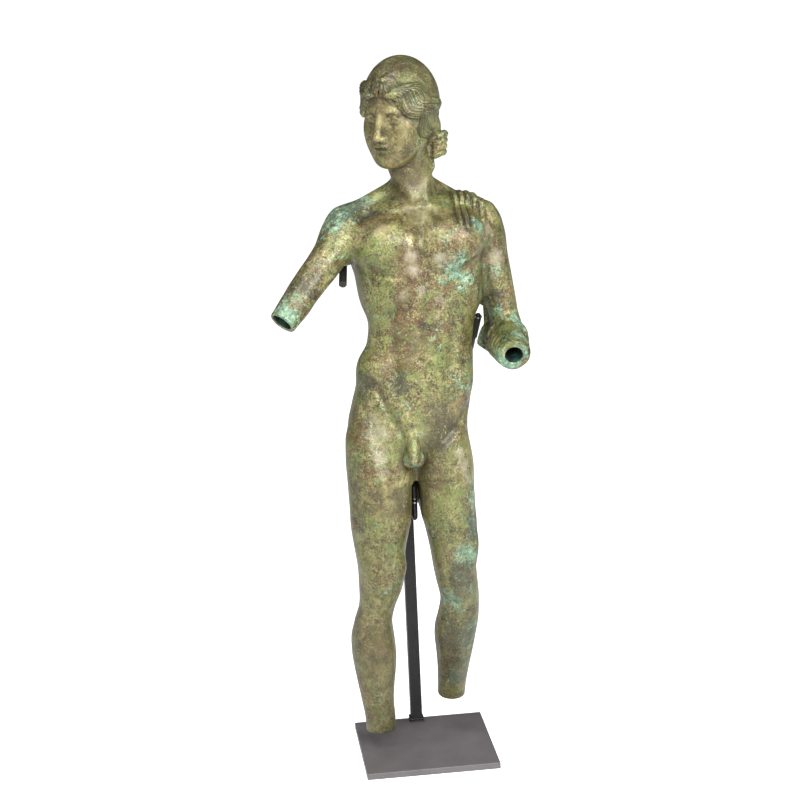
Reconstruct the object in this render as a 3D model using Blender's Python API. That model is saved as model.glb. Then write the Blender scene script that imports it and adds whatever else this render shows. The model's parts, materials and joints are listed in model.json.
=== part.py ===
"""Bronze torso sculpture: a nude youth in a close cap, cast hollow at half life size, broken at both
arms and both shins, held up by a black steel museum stand.

Origin: centre of the plate's underside. +Z up, the figure's chest faces -Y, metres.
"""
import math

import bpy
import bmesh
import numpy as np
import openvdb
from mathutils import Vector

for item in list(bpy.data.objects):
    bpy.data.objects.remove(item, do_unlink=True)

# Driving sizes
FIGURE_HEIGHT = 0.900      # the whole figure as cast, crown to sole; the shins down are lost
WALL = 0.0048              # bronze at the breaks
PLATE_THICKNESS = 0.008
PLATE_EDGE = 0.0008
POST = 0.014               # side of the square post
POST_CHAMFER = 0.0007
POST_GAP = 0.0115          # from the buttocks to the post
POST_WELD = 0.0025         # flare where the post is welded down
ROD = 0.0064               # diameter of the round rods
BEND = 0.009               # bend radius of the rods
FIT = 0.0012               # free play between a rod and the bronze
SEAT = 0.0003              # gap where one piece meets the next

# The figure is modelled in units of 1/900 of its height. Places on it that the stand follows:
UNIT = FIGURE_HEIGHT / 900
SADDLE_X, SADDLE_TOP = -1.5, 339.0
BACK_Y = 54.5              # the hindmost point of the buttocks
POST_X = -2.5
POST_TOP = 622.0

POST_FRONT = BACK_Y * UNIT + POST_GAP
PLATE = 2 * (POST_FRONT + POST)      # square plate, the post flush with its back edge

CLAY_CELL = 2.0            # grid step of the modelling clay, in figure units
FIGURE_FACES = 8400


FAR = 60.0


class Clay:
    """Modelling clay on a regular grid: signed distances in mm, below zero inside."""

    def __init__(self, low, high, cell):
        self.low = np.array(low, float)
        self.cell = cell
        counts = [int(math.ceil((h - l) / cell)) + 1 for l, h in zip(low, high)]
        self.axes = [l + cell * np.arange(n, dtype=np.float32) for l, n in zip(low, counts)]
        self.axes = [a.astype(np.float32) for a in self.axes]
        self.field = np.full(counts, FAR, np.float32)

    def window(self, low, high):
        """The cells between two corners, and their coordinates as open arrays."""
        spans = []
        for axis, a, b in zip(self.axes, low, high):
            start = int(np.searchsorted(axis, a))
            spans.append(slice(start, max(start, int(np.searchsorted(axis, b)))))
        x, y, z = (axis[span] for axis, span in zip(self.axes, spans))
        return tuple(spans), x[:, None, None], y[None, :, None], z[None, None, :]

    def add(self, shape, blend=4.0):
        low, high, distance = shape
        spans, x, y, z = self.window(low - blend, high + blend)
        here = self.field[spans]
        if here.size:
            new = distance(x, y, z)
            h = np.maximum(blend - np.abs(here - new), 0) / blend
            self.field[spans] = np.minimum(here, new) - h * h * blend * 0.25

    def cut(self, shape, blend=1.0):
        low, high, distance = shape
        spans, x, y, z = self.window(low - blend, high + blend)
        here = self.field[spans]
        if here.size:
            new = -distance(x, y, z)
            h = np.maximum(blend - np.abs(here - new), 0) / blend
            self.field[spans] = np.maximum(here, new) + h * h * blend * 0.25

    def near(self, path, reach):
        """Distance from each cell to a path, and how far along it (0 to 1) the nearest point is."""
        path = np.asarray(path, float)
        low, high = path.min(0) - reach, path.max(0) + reach
        spans, x, y, z = self.window(low, high)
        shape = self.field[spans].shape
        best = np.full(shape, FAR, np.float32)
        along = np.zeros(shape, np.float32)
        start = [s.start for s in spans]
        count = len(path) - 1
        for i, (a, b) in enumerate(zip(path[:-1], path[1:])):
            inner, x, y, z = self.window(np.minimum(a, b) - reach, np.maximum(a, b) + reach)
            local = tuple(slice(s.start - o, s.stop - o) for s, o in zip(inner, start))
            if not best[local].size:
                continue
            d, t = segment(a, b, x, y, z)
            old = best[local]
            closer = d < old
            best[local] = np.where(closer, d, old)
            along[local] = np.where(closer, (i + t) / count, along[local])
        return spans, best, along

    def crease(self, path, width, depth, taper=0.15):
        """Presses a groove along a path, or raises a ridge where depth is below zero."""
        if len(path) < 2:
            return
        spans, d, along = self.near(path, 2.6 * width)
        if d.size:
            ends = np.clip(np.minimum(along, 1 - along) / max(taper, 1e-3), 0, 1)
            self.field[spans] += depth * ends * np.exp(-((d / width) ** 2))

    def soften(self, width):
        """Evens out the whole field over a width in mm."""
        for _ in range(max(1, round(2 * (width / self.cell) ** 2))):
            for axis in range(3):
                f = np.moveaxis(self.field, axis, 0)
                f[1:-1] = 0.25 * (f[:-2] + f[2:]) + 0.5 * f[1:-1]

    def swell(self, centre, radii, depth):
        """Presses in (or raises, below zero) a soft round area."""
        c, r = np.array(centre, float), np.array(radii, float)
        spans, x, y, z = self.window(c - 2.6 * r, c + 2.6 * r)
        q = ((x - c[0]) / r[0]) ** 2 + ((y - c[1]) / r[1]) ** 2 + ((z - c[2]) / r[2]) ** 2
        self.field[spans] += depth * np.exp(-q)

    def surface_y(self, x, z, back=False):
        """Where a line along Y first meets the clay, seen from the front or the back."""
        i = int(round((x - self.low[0]) / self.cell))
        k = int(round((z - self.low[2]) / self.cell))
        if not (0 <= i < self.field.shape[0] and 0 <= k < self.field.shape[2]):
            return self.low[1]
        line = self.field[i, :, k]
        line = line[::-1] if back else line
        inside = np.nonzero(line < 0)[0]
        if not len(inside):
            return None
        j = inside[0]
        step = line[j - 1] / (line[j - 1] - line[j]) if j else 0
        place = (j - 1 + step) * self.cell
        return self.axes[1][-1] - place if back else self.low[1] + place

    def lay(self, points, back=False, step=4.0):
        """A path of (x, z) points laid on the clay from the front or the back."""
        flat = [p for p in smooth_path(points, step) if self.low[0] + 2 < p[0] < self.axes[0][-1] - 2
                and self.low[2] + 2 < p[1] < self.axes[2][-1] - 2]
        found = [(x, self.surface_y(x, z, back), z) for x, z in flat]
        found = [p for p in found if p[1] is not None]
        return np.array(found)


def beyond(point, normal, reach):
    """All that lies past a plane, out to a reach around its point."""
    p, n = np.array(point, float), np.array(normal, float)
    n = n / np.linalg.norm(n)

    def distance(x, y, z):
        return -((x - p[0]) * n[0] + (y - p[1]) * n[1] + (z - p[2]) * n[2])
    return p - reach, p + reach, distance


def segment(a, b, x, y, z):
    d = b - a
    px, py, pz = x - a[0], y - a[1], z - a[2]
    t = np.clip((px * d[0] + py * d[1] + pz * d[2]) / max(float(d @ d), 1e-6), 0, 1)
    return np.sqrt((px - t * d[0]) ** 2 + (py - t * d[1]) ** 2 + (pz - t * d[2]) ** 2), t


def smooth_path(points, step):
    """Catmull-Rom curve through points, with a point about every step."""
    p = np.asarray(points, float)
    if len(p) < 3:
        n = max(2, int(np.linalg.norm(p[-1] - p[0]) / step) + 1)
        return p[0] + (p[-1] - p[0]) * np.linspace(0, 1, n)[:, None]
    q = np.vstack([2 * p[0] - p[1], p, 2 * p[-1] - p[-2]])
    out = []
    for i in range(1, len(q) - 2):
        n = max(1, int(np.linalg.norm(q[i + 1] - q[i]) / step))
        t = (np.arange(n) / n)[:, None]
        out.append(0.5 * ((2 * q[i]) + (q[i + 1] - q[i - 1]) * t
                          + (2 * q[i - 1] - 5 * q[i] + 4 * q[i + 1] - q[i + 2]) * t**2
                          + (3 * q[i] - q[i - 1] - 3 * q[i + 1] + q[i + 2]) * t**3))
    return np.vstack(out + [p[-1:]])


def turned(lean):
    """Rotation from Euler angles in degrees, about x, then y, then z."""
    a, b, c = np.radians(lean)
    rx = np.array([[1, 0, 0], [0, np.cos(a), -np.sin(a)], [0, np.sin(a), np.cos(a)]])
    ry = np.array([[np.cos(b), 0, np.sin(b)], [0, 1, 0], [-np.sin(b), 0, np.cos(b)]])
    rz = np.array([[np.cos(c), -np.sin(c), 0], [np.sin(c), np.cos(c), 0], [0, 0, 1]])
    return rz @ ry @ rx


def ball(centre, radii, lean=(0, 0, 0), frame=None):
    """An ellipsoid."""
    c, r = np.array(centre, float), np.array(radii, float)
    turn = turned(lean)
    if frame is not None:
        c = frame(c)
        turn = frame.turn @ turn
        r = r * frame.size
    reach = np.sqrt((turn**2) @ (r**2))

    def distance(x, y, z):
        q = [(x - c[0]) * turn[0, i] + (y - c[1]) * turn[1, i] + (z - c[2]) * turn[2,
                i] for i in range(3)]
        k0 = np.sqrt(sum((q[i] / r[i]) ** 2 for i in range(3)))
        k1 = np.sqrt(sum((q[i] / r[i] ** 2) ** 2 for i in range(3)))
        return k0 * (k0 - 1) / np.maximum(k1, 1e-6)

    return c - reach, c + reach, distance


def rod(a, b, ra, rb=None):
    """A round bar from a to b, ra and rb thick at its ends."""
    a, b = np.array(a, float), np.array(b, float)
    rb = ra if rb is None else rb
    big = max(ra, rb)

    def distance(x, y, z):
        d, t = segment(a, b, x, y, z)
        return d - (ra + (rb - ra) * t)

    return np.minimum(a, b) - big, np.maximum(a, b) + big, distance


def tapered(path, radii):
    """Round bars end to end, as shapes."""
    path = [np.array(p, float) for p in path]
    radii = np.interp(np.linspace(0, 1, len(path)), np.linspace(0, 1, len(radii)), radii)
    return [rod(a, b, ra, rb) for a, b, ra, rb in zip(path[:-1], path[1:], radii[:-1], radii[1:])]


def curve_table(stations, samples=160):
    """Station rows resampled finely by monotone cubic interpolation over their first column."""
    s = np.asarray(stations, float)
    s = s[np.argsort(s[:, 0])]
    t = s[:, 0]
    fine = np.linspace(t[0], t[-1], samples)
    rows = [fine]
    for column in s[:, 1:].T:
        h = np.diff(t)
        slope = np.diff(column) / h
        m = np.empty(len(t))
        m[0], m[-1] = slope[0], slope[-1]
        same = slope[:-1] * slope[1:] > 0
        w1, w2 = 2 * h[1:] + h[:-1], h[1:] + 2 * h[:-1]
        with np.errstate(divide="ignore", invalid="ignore"):
            harmonic = (w1 + w2) / (w1 / slope[:-1] + w2 / slope[1:])
        m[1:-1] = np.where(same, harmonic, 0)
        i = np.clip(np.searchsorted(t, fine, side="right") - 1, 0, len(t) - 2)
        u = (fine - t[i]) / h[i]
        rows.append((1 + 2 * u) * (1 - u) ** 2 * column[i] + u * (1 - u) ** 2 * h[i] * m[i]
                    + u * u * (3 - 2 * u) * column[i + 1] + u * u * (u - 1) * h[i] * m[i + 1])
    return np.array(rows)


def loft(stations, square=2.0, origin=(0, 0, 0), axis=(0, 0, 1), side=(1, 0, 0)):
    """A solid of oval sections along an axis. A station is: place along the axis, sideways
    centre, half width, front edge, back edge. Sections are squarer than ovals above 2."""
    table = curve_table(stations)
    o, w = np.array(origin, float), np.array(axis, float)
    w = w / np.linalg.norm(w)
    v = np.cross(w, side)
    v = v / np.linalg.norm(v)
    u = np.cross(v, w)
    places, centre, half = table[0], table[1], np.maximum(table[2], 0.3)
    mid, deep = (table[3] + table[4]) / 2, np.maximum((table[4] - table[3]) / 2, 0.3)
    corners = np.array([o + s * w + a * u + b * v for s, c, h, f, k in table.T
                        for a in (c - h, c + h) for b in (f, k)])
    n = square

    def distance(x, y, z):
        px, py, pz = x - o[0], y - o[1], z - o[2]
        s = px * w[0] + py * w[1] + pz * w[2]
        a = np.interp(s, places, half).astype(np.float32)
        b = np.interp(s, places, deep).astype(np.float32)
        p = np.abs(px * u[0] + py * u[1] + pz * u[2] - np.interp(s, places,
                centre).astype(np.float32)) / a
        q = np.abs(px * v[0] + py * v[1] + pz * v[2] - np.interp(s, places, mid).astype(np.float32)) / b
        p, q = np.maximum(p, 1e-4), np.maximum(q, 1e-4)
        rho = (p**n + q**n) ** (1 / n)
        steep = rho ** (1 - n) * np.sqrt((p ** (n - 1) / a) ** 2 + (q ** (n - 1) / b) ** 2)
        d = (rho - 1) / steep
        return np.maximum(d, np.maximum(s - places[-1], places[0] - s))

    return corners.min(0), corners.max(0), distance


# Figure coordinates: mm on a figure 900 mm tall. x to the viewer's right, y away, z up.

def torso(clay):
    clay.add(loft([
        (684, 19, 30, -14, 30), (672, 19, 50, -24, 38), (655, 18.5, 64, -38, 46), (630, 17, 70, -49,
                50),
        (603, 16, 70.5, -54, 50), (585, 17, 70, -53, 48), (568, 18, 68.5, -50, 46), (549, 16.6, 64.6,
                -48, 42),
        (530, 15.5, 61.5, -46, 38), (511, 12.7, 61.7, -45, 35), (492, 9.4, 65.5, -46, 36), (473, 5.0,
                66.5, -48, 40),
        (453, 2.4, 68.6, -49, 45), (434, -1, 70.6, -48, 49), (415, -4, 69, -45, 50), (396, -5, 62, -38,
                48),
        (376, -4, 56, -28, 40), (356, -3, 44, -14, 26)], square=2.35), 1)


def legs(clay):
    right = [(440, -30, 28, -28, 32), (418, -37, 38, -42, 42), (400, -39.3, 42, -47, 45), (376, -39.8,
            41.4, -50, 44),
             (356, -39.8, 40.4, -51, 40), (321, -40.4, 38.8, -50, 34), (291, -43.8, 35, -48, 30),
             (261, -45.4, 30, -44, 26), (241, -45, 28, -40, 24), (221, -45.9, 27, -37, 21), (205,
                     -48.5, 24.3, -33, 20),
             (191, -52, 22, -29, 21), (171, -57, 23, -26, 26), (151, -58.3, 26.2, -24, 31), (130,
                     -57.5, 27, -23, 32),
             (110, -56.9, 25.3, -21, 29), (89, -56.8, 22.3, -19, 24), (68, -56, 19.7, -17, 20), (47,
                     -54, 18.6, -15, 18),
             (10, -53.2, 18, -14, 18)]
    left = [(440, 26, 25, -28, 28), (418, 31, 30, -43, 36), (398, 33.5, 32.5, -51, 38), (354, 36.3,
            34.3, -56, 34),
            (315, 36.6, 33.4, -58, 26), (287, 39.6, 30.6, -57, 19), (258, 40.4, 26.6, -55, 12), (239,
                    41.6, 25.6, -53, 8),
            (220, 43.8, 24.6, -50, 5), (199, 46.5, 23.3, -44, 6), (178, 45.2, 24.8, -37, 14), (162, 43,
                    26, -32, 21),
            (145, 41.3, 25, -27, 26), (123, 40.6, 22.2, -19, 30), (100, 39, 19.3, -11, 32), (76, 37,
                    17.4, -3, 32),
            (40, 35, 16.5, 8, 40)]
    clay.add(loft(right, square=2.15), 12)
    clay.add(loft(left, square=2.15), 12)
    # buttocks, with the higher one over the standing leg
    clay.add(ball((-37, 22, 404), (34, 33, 40), (0, 0, -6)), 14)
    clay.add(ball((32, 19, 399), (31, 32, 39), (0, 0, 6)), 14)
    clay.add(ball((-3, 4, 372), (16, 30, 24)), 10)
    clay.soften(2.2)
    clay.crease(clay.lay([(3, 438), (0, 412), (-2, 380), (-3, 352)], back=True), 6, 8)
    clay.crease(clay.lay([(-70, 362), (-52, 353), (-30, 352), (-10, 360)], back=True), 6, 4, 0.3)
    clay.crease(clay.lay([(60, 362), (44, 354), (26, 354), (8, 362)], back=True), 6, 3.5, 0.3)


def shoulders(clay):
    # trapezius, from the neck out to the shoulder points
    clay.add(rod((8, 18, 690), (-68, 9, 658), 15, 11.5), 14)
    clay.add(rod((24, 18, 690), (92, 12, 653), 16, 11), 14)
    # deltoids
    clay.add(ball((-72, 0, 643), (22, 25, 30), (0, 30, 0)), 18)
    clay.add(ball((93, 5, 637), (21, 26, 34), (0, -12, 0)), 18)
    # chest muscles, flat pads that end in a clear lower edge
    clay.add(ball((-22, -30, 631), (44, 27, 32), (4, 12, -12)), 12)
    clay.add(ball((53, -30, 630), (42, 27, 32), (4, -12, 12)), 12)
    # shoulder blades and the broad back muscles
    clay.add(ball((-32, 34, 622), (30, 18, 40), (0, 10, 0)), 18)
    clay.add(ball((64, 34, 620), (30, 18, 40), (0, -10, 0)), 18)
    clay.add(ball((-38, 12, 592), (14, 30, 38), (0, 6, 0)), 18)
    clay.add(ball((77, 12, 586), (14, 30, 42), (0, -6, 0)), 18)


def arms(clay):
    # right arm, broken off below the elbow
    start, end = np.array((-62.0, 2, 648)), np.array((-149.0, -60, 555))
    length = float(np.linalg.norm(end - start))
    clay.add(loft([(0, 0, 17, -20, 20), (18, 0, 20, -23, 23), (40, 0, 20.3, -23, 23), (60, 0.5, 19.8,
            -22, 22), (80, 0, 19, -20.5, 20),
                   (98, 0, 18.4, -19.5, 19.5), (114, 1, 18, -18.5, 18.5), (length, 1, 16, -16.3,
                           16.3), (length + 20, 1, 15.6, -16, 16)],
                  origin=start, axis=end - start, side=(0.8, -0.25, -0.6)), 14)
    # left upper arm, and the forearm that comes forward out of the cloth
    clay.add(loft([(0, -4, 11, -16, 16), (14, -4, 18, -22, 22), (34, -2.5, 19.5, -24, 24), (60, -1.5,
            18.6, -23, 23), (90, -0.5, 18, -21, 21),
                   (118, 0, 17.6, -19, 19), (140, 0, 17, -18, 18), (154, 0, 13, -12, 12)],
                  origin=(97, 6, 662), axis=(22, 8, -150), side=(1, 0, 0)), 12)
    elbow, stub = np.array((118.5, 10, 521)), np.array((115.6, -55, 498))
    clay.add(loft([(-8, 0, 14, -14, 14), (10, 0, 18, -20, 19), (40, 0, 17.6, -20, 19), (62, 0, 16.6,
            -20, 19), (90, 0, 16.4, -19, 19)],
                  origin=elbow, axis=stub - elbow, side=(1, 0, 0)), 8)
    clay.add(ball((-69, 2, 614), (9, 12, 9)), 8)


def cloak(clay):
    """Cloth over the left shoulder, down behind the arm and round the forearm."""
    # bunch on the shoulder: five folds side by side, laid over the crest and broken off in front
    folds = []
    for i in range(5):
        x, low, crest = 60 + 7.6 * i, 60.5 + 7.2 * i, (681, 681, 680, 677, 671)[i]
        path = [(x + 1, 30, crest - 15), (x + 0.5, 18, crest - 5), (x, 5, crest + 0.5), (x, -9,
                crest - 1.5)]
        for t, z in ((0.4, 667), (0.7, 658), (1.0, (653, 649, 647, 648, 651)[i])):
            path.append((x + (low - x) * t, clay.surface_y(low, z) - 2.2, z))
        path.insert(4, ((path[3][0] + path[4][0]) / 2, (path[3][1] + path[4][1]) / 2 - 1.6,
                (path[3][2] + path[4][2]) / 2 + 1.6))
        folds.append(smooth_path(path, 2.5))
    for path in folds:
        for shape in tapered(path + (0, 4.2, -5), (5, 6, 6, 5.5)):
            clay.add(shape, 2)
    for path in folds:
        for shape in tapered(path, (3.4, 3.9, 3.9, 3.8, 3.5)):
            clay.add(shape, 0.7)
    for path in folds:
        end = path[-1]
        clay.crease(path[4:] + (-3.8, -1.2, 0.6), 1.5, 3.4, 0.03)
        clay.crease(path[10:] + (0.6, -4.0, 1.2), 0.7, 0.9, 0.1)
        clay.cut(ball(end + (-1.6, -3, -2.6), (1.7, 3.6, 2.8)), 0.5)
    # the fall behind the arm
    clay.add(loft([(0, 0, 12, -9, 9), (20, 1, 19, -9, 9), (60, 3, 20, -8, 8), (110, 7, 15, -6, 6),
            (150, 4.5, 15, -5, 5), (172, -4.5, 18, -4.5, 4.5), (190, -6, 17, -4, 4)],
                  origin=(88, 34, 668), axis=(20, 0, -172), side=(1, 0, 0)), 6)
    for i in range(4):
        x = 86 + 9 * i
        clay.crease(clay.lay([(x - 4, 645), (x + 1, 590), (x + 6, 540), (x + 4, 488)], back=True), 2.6,
                -4.0, 0.08)
        clay.crease(smooth_path([(x + 2, 29, 556), (x + 1, 30, 530), (x - 3 - 1.5 * i, 30.5, 500),
                (x - 6 - 2 * i, 31, 484)], 2), 1.3, -2.4, 0.05)
    clay.cut(beyond((93, 34, 489), (-0.604, 0, -0.797), 24), 1)
    # from the fall forward under the arm, and the turns round the forearm
    clay.add(loft([(0, 0, 13, -14, 12), (20, 1, 17, -24, 18), (40, 4, 21, -27, 20.5), (58, 0.5, 20,
            -25, 16.5), (72, -2.5, 17.5, -21, 13.5),
                   (86, -5.5, 15, -16.5,
                           13)], origin=(105, 32, 508), axis=(12, -62, -6), side=(1, 0.2, 0)), 5)
    for i in range(7):
        ring = []
        for t in np.linspace(-2.6, 2.8, 33):
            up = np.cos(t)
            tall = 23.5 - 1.6 * i if up > 0 else 27 - 1.1 * i
            ring.append((117 - 0.2 * i + (23.6 - 1.0 * i) * np.sin(t),
                    -2 - 7.6 * i - 3 * up + 2.4 * np.sin(2 * t + 1.3 * i), 504 - 0.8 * i + tall * up))
        for shape in tapered(np.array(ring), (1.2, 2.6, 3.4, 3.0, 3.3, 2.6, 1.0)):
            clay.add(shape, 0.6)
        if i:
            clay.crease(np.array(ring[4:-4]) + (0, 3.6, 1.2), 1.5, 3.2, 0.05)


# where each limb is broken: centre, way it faces, depth of the hollow, outer radius inside and at the
# rim
BREAKS = (((-149, -60, 555), (-87, -62, -93), 26, 17.0, 16.4), ((115.6, -55, 498), (-3, -65, -23), 26,
        14.8, 15.2),
          ((-53.4, 2, 30), (0, 0, -1), 34, 18.2, 17.4), ((36.8, 17, 63), (-0.06, 0.24, -0.97), 30,
                  16.6, 16.0))


def breaks(clay):
    """The four breaks: flat across, open, with the wall of the casting round a hollow."""
    wall = WALL / UNIT
    for centre, outward, deep, inner, rim in BREAKS:
        c, n = np.array(centre, float), np.array(outward, float)
        n /= np.linalg.norm(n)
        clay.cut(beyond(c, n, 45), 1)
        clay.cut(rod(c - n * deep, c + n * 16, inner - wall, rim - wall), 1.5)
    # the gap between the thighs, wide enough for the prong that stands in it
    half = 0.5 * ROD + FIT
    for z in range(344, 298, -2):
        r = half / UNIT + 0.035 * (344 - z)
        clay.cut(rod((SADDLE_X, -90, z), (SADDLE_X, 70 if z < 305 else -6, z), r, r), 2)


def neck(clay):
    clay.add(loft([(0, 0, 30, -24, 26), (14, 0, 25, -23, 24), (40, 0, 22.5, -22, 23), (90, 0, 22, -22,
            22)],
                  origin=(16, 9, 664), axis=(-8, -16, 78), side=(1, 0, 0)), 12)
    clay.add(rod((-14, 4, 730), (11, -24, 680), 6, 4.5), 12)
    clay.add(rod((30, 8, 726), (24, -24, 680), 6, 4.5), 12)
    clay.swell((18, -33, 678), (6, 8, 7), 4)


def front_carving(clay):
    mid = [(17, 668), (15, 640), (14, 612), (14, 598)]
    clay.crease(clay.lay(mid), 5.5, 4.6, 0.2)
    # lower edges of the chest
    clay.crease(clay.lay([(10, 600), (-8, 597), (-28, 599), (-44, 606), (-56, 618)]), 4.6, 4.0, 0.2)
    clay.crease(clay.lay([(20, 600), (38, 597), (58, 599), (74, 606), (84, 618)]), 4.6, 4.0, 0.2)
    # furrow between chest and shoulder
    clay.crease(clay.lay([(-36, 664), (-50, 648), (-58, 630), (-60, 612)]), 6, 3, 0.3)
    clay.crease(clay.lay([(72, 660), (82, 645), (87, 628), (86, 610)]), 6, 2.6, 0.3)
    # collar bones
    clay.crease(clay.lay([(10, 671), (-8, 670), (-30, 669), (-54, 662)]), 5, -3, 0.3)
    clay.crease(clay.lay([(26, 671), (44, 670), (64, 667), (84, 660)]), 5, -3, 0.3)
    # arch of the ribs
    clay.crease(clay.lay([(13, 590), (-4, 572), (-22, 556), (-38, 545)]), 5.6, 3.4, 0.25)
    clay.crease(clay.lay([(15, 590), (34, 572), (52, 556), (66, 543)]), 5.6, 3.4, 0.25)
    # middle line of the belly, the sides of its long muscle, and the bands across it
    clay.crease(clay.lay([(14, 586), (14, 550), (12, 520), (9, 500)]), 4.4, 3.4, 0.2)
    clay.crease(clay.lay([(8, 492), (4, 465), (0, 440), (-3, 422)]), 5, 1.4, 0.3)
    clay.crease(clay.lay([(-24, 560), (-22, 530), (-20, 500), (-22, 470), (-18, 440)]), 6, 3.2, 0.3)
    clay.crease(clay.lay([(52, 558), (50, 530), (44, 500), (36, 470), (24, 436)]), 6, 3.2, 0.3)
    for z, cx in ((562, 14), (532, 13), (504, 10)):
        clay.crease(clay.lay([(cx - 30, z + 3), (cx - 12, z), (cx, z + 1), (cx + 12, z), (cx + 30,
                z + 3)]), 5, 1.5, 0.3)
    # navel
    y = clay.surface_y(9, 497)
    clay.swell((9, y, 497), (3.2, 5, 3.6), 5)
    # muscle over each hip, and the groin furrow below it
    clay.add(ball((-42, -12, 482), (18, 25, 20), (0, -10, 0)), 16)
    clay.add(ball((52, -12, 468), (17, 25, 20), (0, 10, 0)), 16)
    clay.crease(clay.lay([(-62, 486), (-50, 476), (-42, 464), (-32, 444), (-23, 424), (-13, 404)]),
            4.2, 6.0, 0.15)
    clay.crease(clay.lay([(70, 440), (58, 426), (44, 412), (26, 398), (10, 388)]), 4.8, 4.8, 0.2)
    # flank muscles on the ribs
    for i in range(3):
        z = 582 - 17 * i
        clay.crease(np.array([(-56 + 2 * i, -32, z + 8), (-46 + i, -42, z - 2), (-38, -48, z - 8)]), 5,
                2.2, 0.3)
        clay.crease(np.array([(86 - 2 * i, -30, z + 6), (76 - i, -40, z - 3), (68, -47, z - 8)]), 5,
                2.2, 0.3)


def loins(clay):
    clay.add(ball((-4, -38, 402), (15, 12, 14)), 10)
    clay.add(ball((-9.5, -46, 380), (7.4, 8.5, 10.5)), 4)
    clay.add(ball((1.2, -45, 380), (7.0, 8.5, 10.5)), 4)
    clay.add(rod((-4.5, -47, 402), (-5.0, -54, 384), 7.6, 6.4), 3)
    clay.add(ball((-5.0, -56, 380), (4.8, 4.6, 4.8)), 2)


def back_carving(clay):
    clay.crease(clay.lay([(18, 664), (17, 630), (17, 590), (15, 545), (9, 490), (4, 446)], back=True),
            9, 6, 0.2)
    # edges of the shoulder blades
    clay.crease(clay.lay([(-4, 655), (-8, 625), (-18, 598), (-36, 588)], back=True), 8, 3, 0.3)
    clay.crease(clay.lay([(38, 653), (42, 622), (52, 596), (68, 586)], back=True), 8, 3, 0.3)
    # long muscles beside the spine
    clay.crease(clay.lay([(-6, 560), (-8, 520), (-10, 480), (-8, 455)], back=True), 9, -3.5, 0.3)
    clay.crease(clay.lay([(36, 560), (34, 520), (27, 480), (20, 455)], back=True), 9, -3.5, 0.3)
    # dimples over the buttocks, and the hip line
    for x in (-14, 22):
        clay.swell((x, clay.surface_y(x, 446, True), 446), (7, 7, 6), 3)
    clay.crease(clay.lay([(-62, 470), (-44, 458), (-22, 448)], back=True), 7, 2.5, 0.3)
    clay.crease(clay.lay([(66, 464), (48, 452), (28, 444)], back=True), 7, 2.5, 0.3)
    # sides of the buttocks
    clay.swell((-76, 14, 398), (9, 20, 24), 4)
    clay.swell((66, 12, 392), (8, 20, 24), 4)


def knee(clay, x, y, z, side):
    """Kneecap, the muscles above it and the shin top. side is +1 where the inner side is at +x."""
    clay.crease(clay.lay([(x - 11 * side, z + 62), (x - 8 * side, z + 34), (x - 3 * side, z + 14)]), 6,
            1.8, 0.3)
    clay.crease(clay.lay([(x + 10 * side, z + 72), (x + 9 * side, z + 44), (x + 6 * side, z + 18)]), 6,
            1.8, 0.3)
    clay.add(ball((x + 15 * side, y + 13, z + 20), (12, 13, 19), (0, 14 * side, 0)), 8)
    clay.add(ball((x - 12 * side, y + 14, z + 32), (11, 13, 24), (0, -10 * side, 0)), 10)
    clay.add(ball((x, y + 10, z), (11.5, 8, 12.5)), 8)
    clay.crease(clay.lay([(x - 13 * side, z + 6), (x - 12 * side, z - 6), (x - 6 * side, z - 14)]), 4,
            2.4, 0.3)
    clay.crease(clay.lay([(x + 13 * side, z + 6), (x + 12 * side, z - 6), (x + 6 * side, z - 14)]), 4,
            2.4, 0.3)
    clay.add(ball((x - 1 * side, y + 11, z - 22), (8, 7, 10)), 6)


def leg_carving(clay):
    knee(clay, -45, -38, 221, 1)
    knee(clay, 44.5, -52, 231, -1)
    # shins, calves and the hollows behind the knees
    clay.crease(clay.lay([(-49, 192), (-52, 150), (-52, 100), (-50, 50)]), 6, -2.5, 0.2)
    clay.crease(clay.lay([(45, 200), (44, 160), (42, 110), (38, 70)]), 6, -2.5, 0.2)
    clay.crease(clay.lay([(-60, 190), (-66, 150), (-62, 105)]), 6, 1.6, 0.3)
    clay.crease(clay.lay([(54, 195), (55, 160), (51, 112)]), 6, 1.6, 0.3)
    clay.crease(clay.lay([(-50, 185), (-56, 160), (-58, 130), (-57, 112)], back=True), 6, 3.5, 0.3)
    clay.crease(clay.lay([(46, 190), (43, 160), (41, 130), (40, 112)], back=True), 6, 3.5, 0.3)
    for x, z in ((-49, 208), (46, 212)):
        y = clay.surface_y(x, z, True)
        clay.swell((x, y, z), (10, 8, 12), 4.5)
        clay.crease(clay.lay([(x - 15, z + 22), (x - 15, z), (x - 14, z - 14)], back=True), 5, -2.5,
                0.3)
        clay.crease(clay.lay([(x + 15, z + 22), (x + 15, z), (x + 14, z - 14)], back=True), 5, -2.5,
                0.3)
    # furrow down the back of each thigh, and the line of the long thigh muscle in front
    clay.crease(clay.lay([(-44, 340), (-46, 290), (-48, 240)], back=True), 8, 2.4, 0.3)
    clay.crease(clay.lay([(38, 340), (42, 290), (45, 240)], back=True), 8, 2.4, 0.3)
    clay.crease(clay.lay([(-52, 440), (-36, 380), (-22, 320), (-24, 270)]), 9, 2.2, 0.3)
    clay.crease(clay.lay([(56, 420), (36, 370), (16, 320), (20, 275)]), 9, 2.2, 0.3)
    clay.crease(clay.lay([(-72, 420), (-74, 350), (-70, 290), (-62, 250)]), 8, 1.8, 0.3)
    clay.crease(clay.lay([(66, 410), (70, 350), (66, 290), (60, 255)]), 8, 1.8, 0.3)


class Frame:
    """A turned and sized local frame, such as the head's."""

    def __init__(self, place, lean, size):
        self.place, self.turn, self.size = np.array(place, float), turned(lean), size

    def __call__(self, p):
        return self.place + self.turn @ (np.asarray(p, float) * self.size)

    def path(self, points):
        return self.place + (np.asarray(points, float) * self.size) @ self.turn.T


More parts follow.
